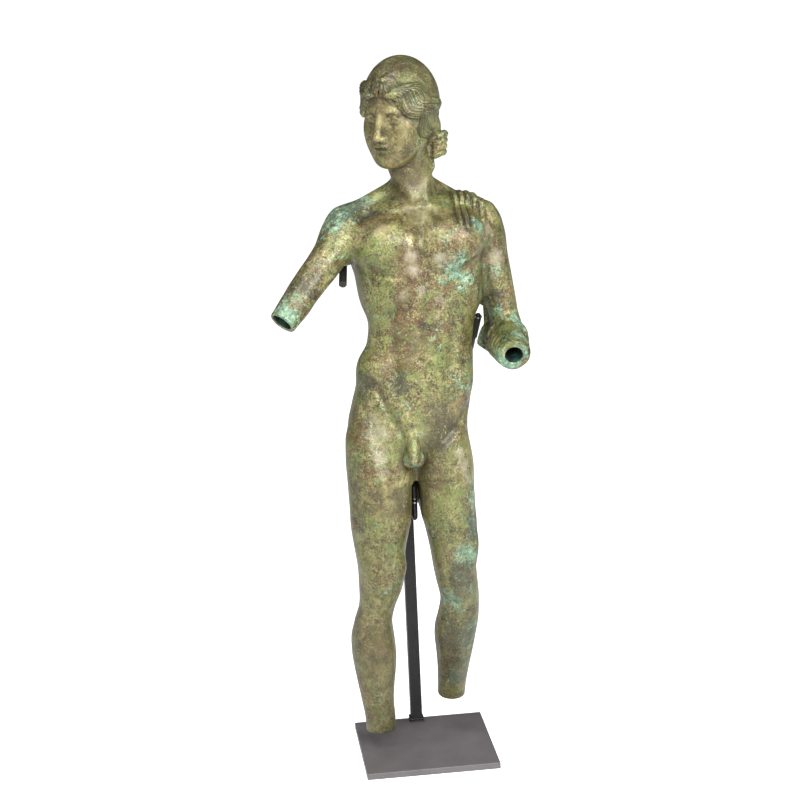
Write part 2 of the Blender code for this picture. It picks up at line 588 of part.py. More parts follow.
HEAD = Frame((4, -3, 722.6), (0, 0, 0), 1.0)
HEAD.turn = turned((0, 2.3, 0)) @ turned((0, 0, -40)) @ turned((7, 0, 0))


def on_head(angle, z, lift=0.0):
    """A point on the hair's ground surface: angle 0 is the face, 90 the figure's left ear."""
    a = np.radians(angle)
    level = max(z, 52.0)
    r = np.sqrt(max(1 - ((level - 71) / 41.5) ** 2, 0.02))
    rx, ry = 36.5 * r + lift, 43.0 * r + lift
    shrink = 1 - 0.010 * max(52 - z, 0)
    return np.array((rx * shrink * np.sin(a), 4 - ry * shrink * np.cos(a), z))


def head(clay):
    """Head coordinates: mm, chin at z 0 and crown at 114, face towards -y."""
    h = HEAD
    # skull and face
    clay.add(ball((0, 3, 71), (35.5, 42, 40), frame=h), 6)
    clay.add(ball((0, -9, 60), (32.5, 33.5, 40), frame=h), 8)
    clay.add(ball((0, -16, 36), (27, 26, 31), frame=h), 10)
    clay.add(ball((0, -30, 13), (13.5, 13, 12), frame=h), 10)
    for s in (-1, 1):
        clay.add(rod(h((24 * s, 0, 30)), h((8 * s, -28, 9)), 10, 9), 12)
        clay.add(ball((18.0 * s, -26, 43), (12, 10, 13), frame=h), 12)
        clay.add(ball((14.5 * s, -25, 28), (13, 12, 16), frame=h), 12)
    # eye hollows, nose and brows
    for s in (-1, 1):
        clay.cut(ball((14.5 * s, -49, 55.5), (9.5, 11.5, 6.5), (0, 5 * s, 0), frame=h), 7)
    clay.add(rod(h((0, -41.5, 64)), h((0, -50.0, 37.5)), 3.9, 4.3), 5)
    clay.add(ball((0, -50, 36), (4.6, 5.4, 4.2), frame=h), 3)
    for s in (-1, 1):
        clay.add(ball((5.2 * s, -45.5, 34.5), (3.3, 5, 3.6), frame=h), 3)
        clay.cut(ball((2.6 * s, -49.5, 31.2), (1.7, 2.6, 1.8), frame=h), 1)
        clay.crease(h.path([(3 * s, -42.6, 63.0), (9 * s, -42.2, 65.6), (17 * s, -38.8, 65.2), (24 * s,
                -32, 61)]), 3.0, -1.5, 0.25)
        clay.add(ball((14.2 * s, -33.4, 55.8), (8.2, 7.0, 6.4), frame=h), 1.2)
        over = [(6.8 * s, -38.6, 54.8), (10 * s, -40.9, 58.2), (14.2 * s, -41.5, 59.5), (18.6 * s,
                -39.6, 58.3), (22.4 * s, -35.4, 54.9)]
        under = [(7.2 * s, -38.6, 54.2), (10.6 * s, -40.1, 52.4), (14.4 * s, -40.4, 51.7), (18.6 * s,
                -38.6, 52.5), (22 * s, -35.4, 54.6)]
        between = [(8 * s, -39.4, 55.2), (11 * s, -41.2, 55.5), (14.3 * s, -41.6, 55.6), (18 * s,
                -39.8, 55.5), (21.5 * s, -36.4, 55.0)]
        clay.crease(h.path(smooth_path(between, 1.5)), 2.3, 0.9, 0.2)
        clay.crease(h.path(smooth_path(over, 1.5)), 1.2, -1.5, 0.1)
        clay.crease(h.path(smooth_path(under, 1.5)), 1.1, -0.9, 0.1)
        clay.crease(h.path(smooth_path(np.array(over) + (0, 1.2, 2.6), 1.5)), 1.3, 0.9, 0.15)
        clay.cut(ball((14.0 * s, -40.6, 56.0), (1.5, 1.6, 1.5), frame=h), 0.6)
    # mouth and chin
    clay.add(ball((0, -37, 23), (13, 8, 9), frame=h), 8)
    clay.add(ball((0, -43.6, 26.0), (9.0, 3.6, 3.0), frame=h), 2)
    clay.add(ball((0, -42.8, 20.2), (7.8, 3.9, 3.3), frame=h), 2)
    clay.crease(h.path([(-10, -41, 23.6), (-5, -45.0, 23.2), (0, -46.4, 23.5), (5, -45.0, 23.2), (10,
            -41, 23.6)]), 1.2, 2.0, 0.15)
    clay.swell(h((0, -42, 15.5)), (9, 5, 3.2), 1.8)
    clay.add(ball((0, -36.5, 7.5), (8.5, 7, 6.5), frame=h), 6)
    hair(clay)


def hair(clay):
    h = HEAD
    # ground of the hair round the sides and back
    clay.add(ball((0, 5, 65), (36.5, 41.5, 40), frame=h), 5)
    clay.add(ball((0, 22, 42), (29, 26, 30), frame=h), 8)
    for s, drop in ((1, 0), (-1, 3)):
        clay.add(ball((30 * s, 0, 58), (9, 18, 20), frame=h), 6)
    # cap: a close shell that ends in a rim, higher over the brow and lower at the nape
    low, high, cap = ball((0, 3, 66), (42.6, 48, 54), frame=h)
    rim, lean = h((0, -40, 99)), h.turn @ np.array((0.10, 0.42, 0.902))
    clay.add((low, high, lambda x, y, z: np.maximum(cap(x, y, z),
            1.2 * ((rim[0] - x) * lean[0] + (rim[1] - y) * lean[1] + (rim[2] - z) * lean[2]))), 1.5)
    # low stubs where something once rose from the cap
    clay.add(rod(h(on_head(5, 98, 5)), h(on_head(32, 106, 5)), 4.6, 3.6), 2)
    clay.crease(h.path([on_head(40, 109, 4.6), on_head(58, 106, 4.4), on_head(74, 98, 4), on_head(84,
            88, 3.6)]), 1.8, -1.8, 0.05)
    clay.add(rod(h(on_head(-34, 98, 3)), h(on_head(-52, 105, 3)), 4.2, 3.4), 3)
    # waves that sweep from the brow over the temple and ear to the nape, between the cap's rim
    # and the hairline, one beside the other
    rim_line = np.array([(4, 99), (45, 91), (88, 72), (120, 48), (136, 26)], float)
    face_line = np.array([(8, 90), (34, 79), (58, 60), (76, 38), (100, 10)], float)
    for side, rows in ((1, 6), (-1, 5)):
        for row in range(rows):
            share = row / (rows - 1)
            flow = smooth_path(rim_line * (1 - share) + face_line * share, 4)
            wave = []
            for i, (a, z) in enumerate(flow):
                t = i / (len(flow) - 1)
                swing = 20 * t + 0.7 * row
                wave.append((side * (a + 3.5 * math.sin(swing)), z + 3.0 * math.sin(swing),
                             3.6 + 1.2 * math.sin(math.pi * t) + 1.9 * math.sin(swing + 1.6)))
            tress(clay, wave, 5.6, 3)
    # short locks on the brow
    for side in (1, -1):
        for i in range(5):
            a, z, bend = 3 + 7.6 * i, 92 - 1.2 * i - 0.5 * i * i, 1 if i % 2 else -1
            tress(clay, [(side * (a - 2), z + 5, 3.2), (side * (a + 1), z, 4.6),
                    (side * (a + 5 + bend), z - 5, 4.4),
                         (side * (a + 4 + 2 * bend), z - 9, 3.0), (side * (a + 1), z - 10.5,
                                 1.8)], 3.3, 2)
    # the back: long waved locks from under the cap to the neck
    for i in range(9):
        a = 116 + 16 * i
        tress(clay, [(a - 3, 60, 1), (a + 4, 53, 3.6), (a - 3, 44, 4.6), (a + 4, 35, 5.2), (a - 2, 27,
                5.6), (a + 3, 20, 3)], 5.0, 3)
    # the knot behind the left ear: four rolls one under the other, and one loose lock below
    clay.add(ball((23, 24, 32), (12, 13, 17), frame=h), 5)
    clay.add(ball((22, 22, 8), (6, 7, 13), frame=h), 4)
    clay.add(rod(h(on_head(66, 66, 2)), h(on_head(118, 38, 4)), 8, 10), 4)
    for i in range(4):
        c = np.array((28.8 - 0.5 * i, 28.5, 25.5 - 7.0 * i))
        roll = [c + (9.4 * np.cos(t) * (1 - 0.09 * i), 8.2 * np.sin(t),
                1.6 * np.cos(2 * t)) for t in np.linspace(-2.2, 2.0, 10)]
        for shape in tapered(HEAD.path(roll), (2.4, 3.9, 4.2, 3.9, 2.4)):
            clay.add(shape, 1.2)
        for up in (-1.4, 1.4):
            clay.crease(HEAD.path([p + (2.6 * (p[0] - c[0]) / 8, 2.6 * (p[1] - c[1]) / 8,
                    up) for p in roll]), 0.8, 1.0, 0.2)
    for shape in tapered(smooth_path(HEAD.path([(23, 22, 4), (21, 23, -4), (23.5, 22, -11), (21, 21,
            -18)]), 2.5), (4.6, 4.2, 3.4, 1.6)):
        clay.add(shape, 1.5)


def tress(clay, points, size, strands):
    """A lock laid on the head through (angle, z, lift) points, with fine grooves along it."""
    flat = np.array([on_head(*p) for p in points])
    path = smooth_path(HEAD.path(flat), 2.4)
    widths = (0.55 * size, 0.9 * size, size, size, 0.95 * size, 0.8 * size, 0.35 * size)
    for shape in tapered(path, widths):
        clay.add(shape, 1.2)
    centre = HEAD.path([(0, 4, 66)])[0]
    along = np.gradient(path, axis=0)
    out = path - centre
    out /= np.linalg.norm(out, axis=1)[:, None]
    across = np.cross(along, out)
    across /= np.maximum(np.linalg.norm(across, axis=1), 1e-6)[:, None]
    for i in range(strands):
        s = (2 * i + 1) / strands - 1
        line = path + size * 0.92 * (s * 0.8 * across + math.sqrt(1 - 0.6 * s * s) * out)
        clay.crease(line, 0.8 + 0.05 * size, 1.7, 0.1)


def make(cell, low=(-175, -110, 5), high=(150, 100, 850)):
    clay = Clay(low, high, cell)
    torso(clay)
    legs(clay)
    shoulders(clay)
    neck(clay)
    arms(clay)
    clay.soften(1.8)
    cloak(clay)
    front_carving(clay)
    loins(clay)
    back_carving(clay)
    leg_carving(clay)
    clay.soften(1.4)
    breaks(clay)
    head(clay)
    return clay


def material(name, colour, metallic, roughness):
    m = bpy.data.materials.new(name)
    m.use_nodes = True
    shader = m.node_tree.nodes["Principled BSDF"]
    shader.inputs["Base Color"].default_value = (*colour, 1)
    shader.inputs["Metallic"].default_value = metallic
    shader.inputs["Roughness"].default_value = roughness
    m.diffuse_color = (*colour, 1)
    return m


def put(name, mesh, skin):
    body = bpy.data.objects.new(name, mesh)
    bpy.context.collection.objects.link(body)
    body.data.materials.append(skin)
    return body


def whole(bm):
    """Joins coincident points and turns every face outward."""
    bmesh.ops.remove_doubles(bm, verts=bm.verts, dist=1e-6)
    bmesh.ops.recalc_face_normals(bm, faces=bm.faces)


# The bronze figure, cast as one

def figure():
    clay = make(CLAY_CELL)
    grid = openvdb.FloatGrid(FAR)
    grid.copyFromArray(clay.field)
    points, triangles, quads = grid.convertToPolygons(0.0, 0.0)
    points = (np.asarray(points, float) * clay.cell + clay.low) * UNIT
    mesh = bpy.data.meshes.new("figure")
    faces = [tuple(int(i) for i in f[::-1]) for f in list(triangles) + list(quads)]
    mesh.from_pydata(points.tolist(), [], faces)
    bm = bmesh.new()
    bm.from_mesh(mesh)
    keep_largest(bm)
    whole(bm)
    bmesh.ops.triangulate(bm, faces=bm.faces)
    bm.to_mesh(mesh)
    count = len(bm.faces)
    bm.free()
    body = put("figure", mesh, material("patinated_bronze", (0.205, 0.195, 0.095), 0.75, 0.42))
    thin = body.modifiers.new("fewer faces", "DECIMATE")
    thin.ratio = FIGURE_FACES / count
    mesh.shade_smooth()
    return body


def keep_largest(bm):
    """Drops loose crumbs of clay, so that the figure is one body."""
    left, groups = set(bm.verts), []
    while left:
        seed = left.pop()
        group, edge = {seed}, [seed]
        while edge:
            near = [e.other_vert(v) for v in edge for e in v.link_edges]
            edge = [v for v in set(near) if v in left]
            left.difference_update(edge)
            group.update(edge)
        groups.append(group)
    groups.sort(key=len)
    crumbs = [v for g in groups[:-1] for v in g]
    bmesh.ops.delete(bm, geom=crumbs, context="VERTS")


# The stand, of painted steel

def block(name, size, place, edge, skin):
    """A box with softened edges, standing on a place."""
    bm = bmesh.new()
    bmesh.ops.create_cube(bm, size=1)
    bmesh.ops.scale(bm, vec=size, verts=bm.verts)
    bmesh.ops.translate(bm, vec=(place[0], place[1], place[2] + size[2] / 2), verts=bm.verts)
    bmesh.ops.bevel(bm, geom=bm.edges, offset=edge, segments=2, profile=0.5, affect="EDGES")
    whole(bm)
    mesh = bpy.data.meshes.new(name)
    bm.to_mesh(mesh)
    bm.free()
    return put(name, mesh, skin)


def post(name, low, high, skin):
    """The square post with a chamfered top and the flare of its weld at the foot."""
    levels = ((low, POST_WELD), (low + POST_WELD, 0), (high - POST_CHAMFER, 0), (high, -POST_CHAMFER))
    bm = bmesh.new()
    rings = []
    for z, out in levels:
        half = POST / 2 + out
        c = POST_CHAMFER
        corners = [(half, half - c), (half - c, half)]
        ring = []
        for quarter in range(4):
            a = math.pi / 2 * quarter
            for x, y in corners:
                ring.append(bm.verts.new((POST_X * UNIT + x * math.cos(a) - y * math.sin(a),
                                          POST_FRONT + POST / 2
                                          + min(x * math.sin(a) + y * math.cos(a), POST / 2), z)))
        rings.append(ring)
    for below, above in zip(rings[:-1], rings[1:]):
        for i in range(8):
            bm.faces.new((below[i], below[(i + 1) % 8], above[(i + 1) % 8], above[i]))
    bm.faces.new(rings[0][::-1])
    bm.faces.new(rings[-1])
    whole(bm)
    mesh = bpy.data.meshes.new(name)
    bm.to_mesh(mesh)
    bm.free()
    return put(name, mesh, skin)


def rounded(corners, radius, steps=4):
    """A path with its corners bent to a radius."""
    path = [corners[0]]
    for a, b, c in zip(corners[:-2], corners[1:-1], corners[2:]):
        back, on = (a - b).normalized(), (c - b).normalized()
        half = back.angle(on) / 2
        run = min(radius / math.tan(half), 0.45 * (a - b).length, 0.45 * (c - b).length)
        for i in range(steps + 1):
            t = i / steps
            path.append((b + back * run) * (1 - t) ** 2 + b * 2 * t * (1 - t) + (b + on * run) * t ** 2)
    return path + [corners[-1]]


def bent_rod(name, corners, skin, sides=12):
    """A round rod along a bent path, cut square at its root and domed at its free end."""
    path = rounded([Vector(c) for c in corners], BEND)
    end = (path[-1] - path[-2]).normalized()
    tip = path[-1]
    r = ROD / 2
    path[-1] = tip - end * r
    stations = [(p, r) for p in path]
    stations += [(tip - end * r * (1 - math.sin(a)), r * math.cos(a)) for a in (0.45, 0.9, 1.3)]
    bm = bmesh.new()
    side = Vector((0.31, 0.17, 0.93))
    rings = []
    for i, (p, radius) in enumerate(stations):
        before = stations[max(i - 1, 0)][0]
        after = stations[min(i + 1, len(stations) - 1)][0]
        along = (after - before).normalized()
        side = (side - along * side.dot(along)).normalized()
        up = along.cross(side)
        rings.append([bm.verts.new(p + radius * (side * math.cos(t) + up * math.sin(t)))
                      for t in (2 * math.pi * k / sides for k in range(sides))])
    for a, b in zip(rings[:-1], rings[1:]):
        for k in range(sides):
            bm.faces.new((a[k], a[(k + 1) % sides], b[(k + 1) % sides], b[k]))
    bm.faces.new(rings[0][::-1])
    bm.faces.new(rings[-1])
    whole(bm)
    mesh = bpy.data.meshes.new(name)
    bm.to_mesh(mesh)
    bm.free()
    mesh.shade_smooth()
    mesh.set_sharp_from_angle(angle=math.radians(40))
    return put(name, mesh, skin)


plate_steel = material("plate_steel", (0.13, 0.125, 0.12), 0.6, 0.45)
black_steel = material("black_steel", (0.018, 0.017, 0.017), 0.4, 0.42)

figure()
block("stand_plate", (PLATE, PLATE, PLATE_THICKNESS), (0, 0, 0), PLATE_EDGE, plate_steel)
post("stand_post", PLATE_THICKNESS + SEAT, POST_TOP * UNIT, black_steel)

front = POST_FRONT - SEAT
left, right = (POST_X * UNIT + s * (POST / 2 + SEAT) for s in (-1, 1))
middle = POST_FRONT + POST / 2

# the prong that stands in the gap between the thighs and takes the weight
bent_rod("saddle_rod", [(SADDLE_X * UNIT, front, 296 * UNIT), (SADDLE_X * UNIT, -8 * UNIT, 296 * UNIT),
                        (SADDLE_X * UNIT, -8 * UNIT, SADDLE_TOP * UNIT)], black_steel)
# the rod that comes round the back and rests under the right arm
bent_rod("armpit_rod", [(left, middle, 613 * UNIT), (-48 * UNIT, middle, 613 * UNIT), (-66 * UNIT,
        50 * UNIT, 614 * UNIT),
                        (-69 * UNIT, 22 * UNIT, 606 * UNIT), (-74 * UNIT, -16 * UNIT,
                                587 * UNIT)], black_steel)
# the strut that steadies the cloth on the left side
bent_rod("side_strut", [(right, middle, 474 * UNIT), (34 * UNIT, middle, 474 * UNIT), (80 * UNIT,
        52 * UNIT, 482 * UNIT),
                        (89.5 * UNIT, 34 * UNIT, 532 * UNIT)], black_steel)
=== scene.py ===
import json
import math

import bpy
import bmesh
import numpy as np
import openvdb
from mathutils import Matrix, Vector

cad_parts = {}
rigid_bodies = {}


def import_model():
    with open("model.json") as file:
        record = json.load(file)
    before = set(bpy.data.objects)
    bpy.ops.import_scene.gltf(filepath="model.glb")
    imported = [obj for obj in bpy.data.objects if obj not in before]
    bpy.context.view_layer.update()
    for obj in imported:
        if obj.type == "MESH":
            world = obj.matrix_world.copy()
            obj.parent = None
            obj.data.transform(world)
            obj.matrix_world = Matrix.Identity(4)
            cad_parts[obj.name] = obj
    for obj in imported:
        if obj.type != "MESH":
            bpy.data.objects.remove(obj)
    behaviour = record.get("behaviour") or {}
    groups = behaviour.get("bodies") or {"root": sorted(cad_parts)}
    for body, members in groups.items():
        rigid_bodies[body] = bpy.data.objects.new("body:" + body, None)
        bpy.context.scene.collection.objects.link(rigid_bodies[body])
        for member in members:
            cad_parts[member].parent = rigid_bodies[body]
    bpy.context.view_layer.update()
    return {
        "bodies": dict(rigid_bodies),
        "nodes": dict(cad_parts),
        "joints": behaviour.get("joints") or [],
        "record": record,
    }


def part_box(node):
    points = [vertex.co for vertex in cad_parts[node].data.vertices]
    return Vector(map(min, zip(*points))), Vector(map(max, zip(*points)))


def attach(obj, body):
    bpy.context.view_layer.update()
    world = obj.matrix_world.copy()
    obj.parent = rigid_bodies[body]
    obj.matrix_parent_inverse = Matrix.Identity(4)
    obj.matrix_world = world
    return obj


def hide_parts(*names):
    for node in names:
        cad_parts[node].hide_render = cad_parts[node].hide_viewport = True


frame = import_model()
nodes = frame["nodes"]


# The plate: mild steel, flame cut square, its edges broken with a file, sprayed satin grey-black.
# It stands flat and carries everything else. The solid comes from the frame, only its paint is new.

def linear(code):
    """sRGB hex to the linear colour that a shader takes."""
    parts = [int(code[i:i + 2], 16) / 255 for i in (1, 3, 5)]
    return tuple(c / 12.92 if c <= 0.04045 else ((c + 0.055) / 1.055) ** 2.4 for c in parts) + (1.0,)


def node(tree, kind, settings=(), **links):
    """Adds a node, sets its properties and inputs, and links what is passed as a socket."""
    made = tree.nodes.new(kind)
    for name, value in dict(settings).items():
        setattr(made, name, value)
    for name, value in links.items():
        key = name.replace("_", " ")
        if key not in made.inputs and key.startswith("in"):
            socket = made.inputs[int(key[2:])]
        else:
            socket = made.inputs[key]
        if isinstance(value, bpy.types.NodeSocket):
            tree.links.new(value, socket)
        else:
            socket.default_value = value
    return made


def ramp(tree, factor, *stops):
    """A colour ramp; stops are (place, hex or grey)."""
    made = node(tree, "ShaderNodeValToRGB", Fac=factor)
    band = made.color_ramp
    while len(band.elements) < len(stops):
        band.elements.new(0.5)
    for element, (place, tone) in zip(band.elements, stops):
        element.position = place
        element.color = linear(tone) if isinstance(tone, str) else (tone, tone, tone, 1)
    return made.outputs["Color"]


def blend(tree, factor, a, b):
    """Mixes two colours, each a socket or a hex code."""
    made = tree.nodes.new("ShaderNodeMix")
    made.data_type = "RGBA"
    for socket, value in ((made.inputs[0], factor), (made.inputs[6], a), (made.inputs[7], b)):
        if isinstance(value, bpy.types.NodeSocket):
            tree.links.new(value, socket)
        else:
            socket.default_value = linear(value) if isinstance(value, str) else value
    return made.outputs[2]


def new_material(name):
    """A new material with its node tree, its main shader and the object coordinates."""
    made = bpy.data.materials.new(name)
    made.use_nodes = True
    tree = made.node_tree
    return made, tree, tree.nodes["Principled BSDF"], node(tree, "ShaderNodeTexCoord").outputs["Object"]


# Sprayed satin paint over steel: a dielectric coat, slightly mottled, with a fine orange peel of
# about 1 mm and a few lighter rubs, so that the plate looks flat grey with a soft sheen.
def satin_paint(name, dark, light, roughness, peel):
    made, tree, skin, place = new_material(name)
    cloud = node(tree, "ShaderNodeTexNoise", Vector=place, Scale=28.0, Detail=4.0, Roughness=0.6)
    grain = node(tree, "ShaderNodeTexNoise", Vector=place, Scale=900.0, Detail=2.0)
    rub = node(tree, "ShaderNodeTexNoise", Vector=place, Scale=160.0, Detail=6.0, Roughness=0.75)
    base = ramp(tree, cloud.outputs["Fac"], (0.3, dark), (0.7, light))
    base = blend(tree, ramp(tree, rub.outputs["Fac"], (0.64, 0.0), (0.74, 0.22)), base, "#a7a29c")
    tree.links.new(base, skin.inputs["Base Color"])
    tree.links.new(ramp(tree, rub.outputs["Fac"], (0.3, roughness - 0.06), (0.75, roughness + 0.08)),
                   skin.inputs["Roughness"])
    bump = node(tree, "ShaderNodeBump", Height=grain.outputs["Fac"], Strength=peel, Distance=0.0004)
    tree.links.new(bump.outputs["Normal"], skin.inputs["Normal"])
    return made


def paint_node(name, skin):
    """Puts a material on a solid that comes from the frame."""
    for slot in nodes[name].material_slots:
        slot.material = skin


plate_paint = satin_paint("satin_grey_paint_on_steel", "#565253", "#605c5d", 0.42, 0.25)
paint_node("stand_plate", plate_paint)


# The post: 14 mm square bar, welded upright to the back edge of the plate with a fillet all round.
# It carries the weight of the bronze. The weld bead is a row of overlapping ripples, painted over.

post_paint = satin_paint("satin_black_paint_on_steel", "#0e0c0c", "#161414", 0.45, 0.35)
paint_node("stand_post", post_paint)

post_low, post_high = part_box("stand_post")
plate_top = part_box("stand_plate")[1][2]


def modifier_inputs(modifier, **values):
    """Sets a node group's inputs on its modifier by the sockets' identifiers."""
    for item in modifier.node_group.interface.items_tree:
        if item.item_type == "SOCKET" and item.in_out == "INPUT" and item.name in values:
            modifier[item.identifier] = values[item.name]


def plain_mesh(source, name):
    """The evaluated object as a plain mesh object, with the source taken away."""
    bpy.context.view_layer.update()
    shown = source.evaluated_get(bpy.context.evaluated_depsgraph_get())
    mesh = bpy.data.meshes.new_from_object(shown)
    mesh.name = name
    bpy.data.objects.remove(source, do_unlink=True)
    bm = bmesh.new()
    bm.from_mesh(mesh)
    bmesh.ops.remove_doubles(bm, verts=bm.verts, dist=1e-6)
    bmesh.ops.recalc_face_normals(bm, faces=bm.faces)
    bm.to_mesh(mesh)
    bm.free()
    made = bpy.data.objects.new(name, mesh)
    bpy.context.collection.objects.link(made)
    mesh.shade_smooth()
    return made


def path_object(name, points):
    """A curve object of straight stretches through points."""
    curve = bpy.data.curves.new(name, "CURVE")
    curve.dimensions = "3D"
    line = curve.splines.new("POLY")
    line.points.add(len(points) - 1)
    for place, p in zip(line.points, points):
        place.co = (*p, 1)
    made = bpy.data.objects.new(name, curve)
    bpy.context.collection.objects.link(made)
    return made


def ripples_along(name, skin):
    """Geometry nodes: overlapping flattened beads along a curve, as a weld lays them."""
    tree = bpy.data.node_groups.new(name, "GeometryNodeTree")
    given_kinds = (("Geometry", "NodeSocketGeometry"), ("Bead", "NodeSocketFloat"),
                   ("Step", "NodeSocketFloat"), ("Seed", "NodeSocketInt"))
    for label, kind in given_kinds:
        tree.interface.new_socket(label, in_out="INPUT", socket_type=kind)
    tree.interface.new_socket("Geometry", in_out="OUTPUT", socket_type="NodeSocketGeometry")
    given = node(tree, "NodeGroupInput").outputs
    spots = node(tree, "GeometryNodeCurveToPoints", {"mode": "LENGTH"}, Curve=given["Geometry"],
                 Length=given["Step"])
    size = node(tree, "FunctionNodeRandomValue", {"data_type": "FLOAT"}, Seed=given["Seed"])
    size.inputs[2].default_value, size.inputs[3].default_value = 0.85, 1.15
    ball = node(tree, "GeometryNodeMeshIcoSphere", Radius=given["Bead"], Subdivisions=2)
    laid = node(tree, "GeometryNodeInstanceOnPoints", Points=spots.outputs["Points"],
                Instance=ball.outputs["Mesh"], Rotation=spots.outputs["Rotation"], Scale=size.outputs[1])
    real = node(tree, "GeometryNodeRealizeInstances", Geometry=laid.outputs["Instances"])
    done = node(tree, "GeometryNodeSetMaterial", Geometry=real.outputs["Geometry"], Material=skin)
    out = node(tree, "NodeGroupOutput")
    tree.links.new(done.outputs["Geometry"], out.inputs["Geometry"])
    return tree


# thickness of the bar, size of a bead, its step along the seam and its height over the plate
BAR = 0.014
BEAD = 0.0016
RIPPLE_STEP = 0.0015
WELD_RISE = 0.0032
bar_x, bar_y = (post_low[0] + post_high[0]) / 2, post_high[1] - BAR / 2
half = BAR / 2 + 0.0004
# round the front and the two sides; the back is flush with the edge of the plate
corners = [(-1, 0.92), (-1, -1), (1, -1), (1, 0.92)]
weld_path = []
for (ax, ay), (bx, by) in zip(corners[:-1], corners[1:]):
    for t in np.arange(12) / 12:
        weld_path.append((bar_x + half * (ax + (bx - ax) * t), bar_y + half * (ay + (by - ay) * t),
                          plate_top + WELD_RISE))
weld_path.append((bar_x + half * corners[-1][0], bar_y + half * corners[-1][1], plate_top + WELD_RISE))
seam = path_object("weld_path", weld_path)
work = seam.modifiers.new("weld", "NODES")
work.node_group = ripples_along("weld_ripples", post_paint)
modifier_inputs(work, Bead=BEAD, Step=RIPPLE_STEP, Seed=7)
weld = plain_mesh(seam, "post_weld_bead")
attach(weld, "root")


# The rods: 6.4 mm round bar, bent cold and welded to the post. One stands up between the thighs,
# one comes round under the right arm, one steadies the cloth. Black rubber sleeves with a bright
# clip keep the steel off the bronze.

for name in ("saddle_rod", "armpit_rod", "side_strut"):
    paint_node(name, post_paint)


# Extruded rubber tube: matt, near black, very slightly brown, no pattern to speak of.
def rubber():
    made, tree, skin, place = new_material("black_rubber_tube")
    dust = node(tree, "ShaderNodeTexNoise", Vector=place, Scale=420.0, Detail=3.0)
    tree.links.new(ramp(tree, dust.outputs["Fac"], (0.35, "#141211"), (0.75, "#2b2725")),
                   skin.inputs["Base Color"])
    skin.inputs["Roughness"].default_value = 0.62
    return made


# Plated spring steel: bright, worn a little dull.
def bright_clip():
    made, tree, skin, place = new_material("plated_steel_clip")
    wear = node(tree, "ShaderNodeTexNoise", Vector=place, Scale=700.0, Detail=3.0)
    tree.links.new(ramp(tree, wear.outputs["Fac"], (0.3, "#9d9b97"), (0.7, "#c9c7c2")),
                   skin.inputs["Base Color"])
    skin.inputs["Metallic"].default_value = 1.0
    skin.inputs["Roughness"].default_value = 0.3
    return made


def sleeve_along(name, skin):
    """Geometry nodes: a round tube along a curve, with closed ends."""
    tree = bpy.data.node_groups.new(name, "GeometryNodeTree")
    for label, kind in (("Geometry", "NodeSocketGeometry"), ("Radius", "NodeSocketFloat")):
        tree.interface.new_socket(label, in_out="INPUT", socket_type=kind)
    tree.interface.new_socket("Geometry", in_out="OUTPUT", socket_type="NodeSocketGeometry")
    given = node(tree, "NodeGroupInput").outputs
    ring = node(tree, "GeometryNodeCurvePrimitiveCircle", Resolution=24, Radius=given["Radius"])
    tube = node(tree, "GeometryNodeCurveToMesh", Curve=given["Geometry"],
                Profile_Curve=ring.outputs["Curve"], Fill_Caps=True)
    real = node(tree, "GeometryNodeRealizeInstances", Geometry=tube.outputs["Mesh"])
    done = node(tree, "GeometryNodeSetMaterial", Geometry=real.outputs["Geometry"], Material=skin)
    out = node(tree, "NodeGroupOutput")
    tree.links.new(done.outputs["Geometry"], out.inputs["Geometry"])
    return tree


rubber_tree = sleeve_along("rubber_sleeve", rubber())
clip_tree = sleeve_along("spring_clip", bright_clip())


def sleeve(name, start, end, radius, tree):
    """A straight length of tube from start to end, with its middle point on the line."""
    a, b = Vector(start), Vector(end)
    line = path_object(name + "_line", [a, (a + b) / 2, b])
    work = line.modifiers.new("sleeve", "NODES")
    work.node_group = tree
    modifier_inputs(work, Radius=radius)
    made = plain_mesh(line, name)
    made.data.set_sharp_from_angle(angle=math.radians(50))
    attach(made, "root")
    return made


ROD = 0.0064
prong_low, prong_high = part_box("saddle_rod")
prong_x, prong_y = prong_high[0] - ROD / 2, prong_low[1] + ROD / 2
sleeve("saddle_clip", (prong_x, prong_y, 0.3165), (prong_x, prong_y, 0.3182), 0.0037, clip_tree)
sleeve("saddle_clip_upper", (prong_x, prong_y, 0.3215), (prong_x, prong_y, 0.3226), 0.0037, clip_tree)
sleeve("armpit_sleeve", (-0.0704, 0.0110, 0.6025), (-0.0742, -0.0172, 0.5863), 0.0046, rubber_tree)
strut_a, strut_b = Vector((0.0838, 0.0448, 0.502)), Vector((0.0895, 0.034, 0.532))
reach = (strut_b - strut_a).normalized()
sleeve("strut_sleeve", strut_a, strut_b - reach * 0.004, 0.0044, rubber_tree)
sleeve("strut_clip", strut_b - reach * 0.0052, strut_b - reach * 0.0036, 0.0048, clip_tree)


# The figure: bronze cast hollow in one, in the lost-wax way, so the model was built up and carved in
# soft clay or wax first. The same is done here: clay on a fine grid, added, cut, creased and softened.
# Its places are in millimetres on a figure 900 mm tall, x to the viewer's right, y away, z up.

FIGURE_HEIGHT = 0.900
UNIT = FIGURE_HEIGHT / 900
# thickness of the bronze at the breaks, and the play round the prong between the thighs
WALL = 0.0048
FIT = 0.0012
# where that prong stands, the size of a cell of clay in mm, and the faces the finished skin may have
SADDLE_X = -1.5
CELL = 0.9
FACES = 192000
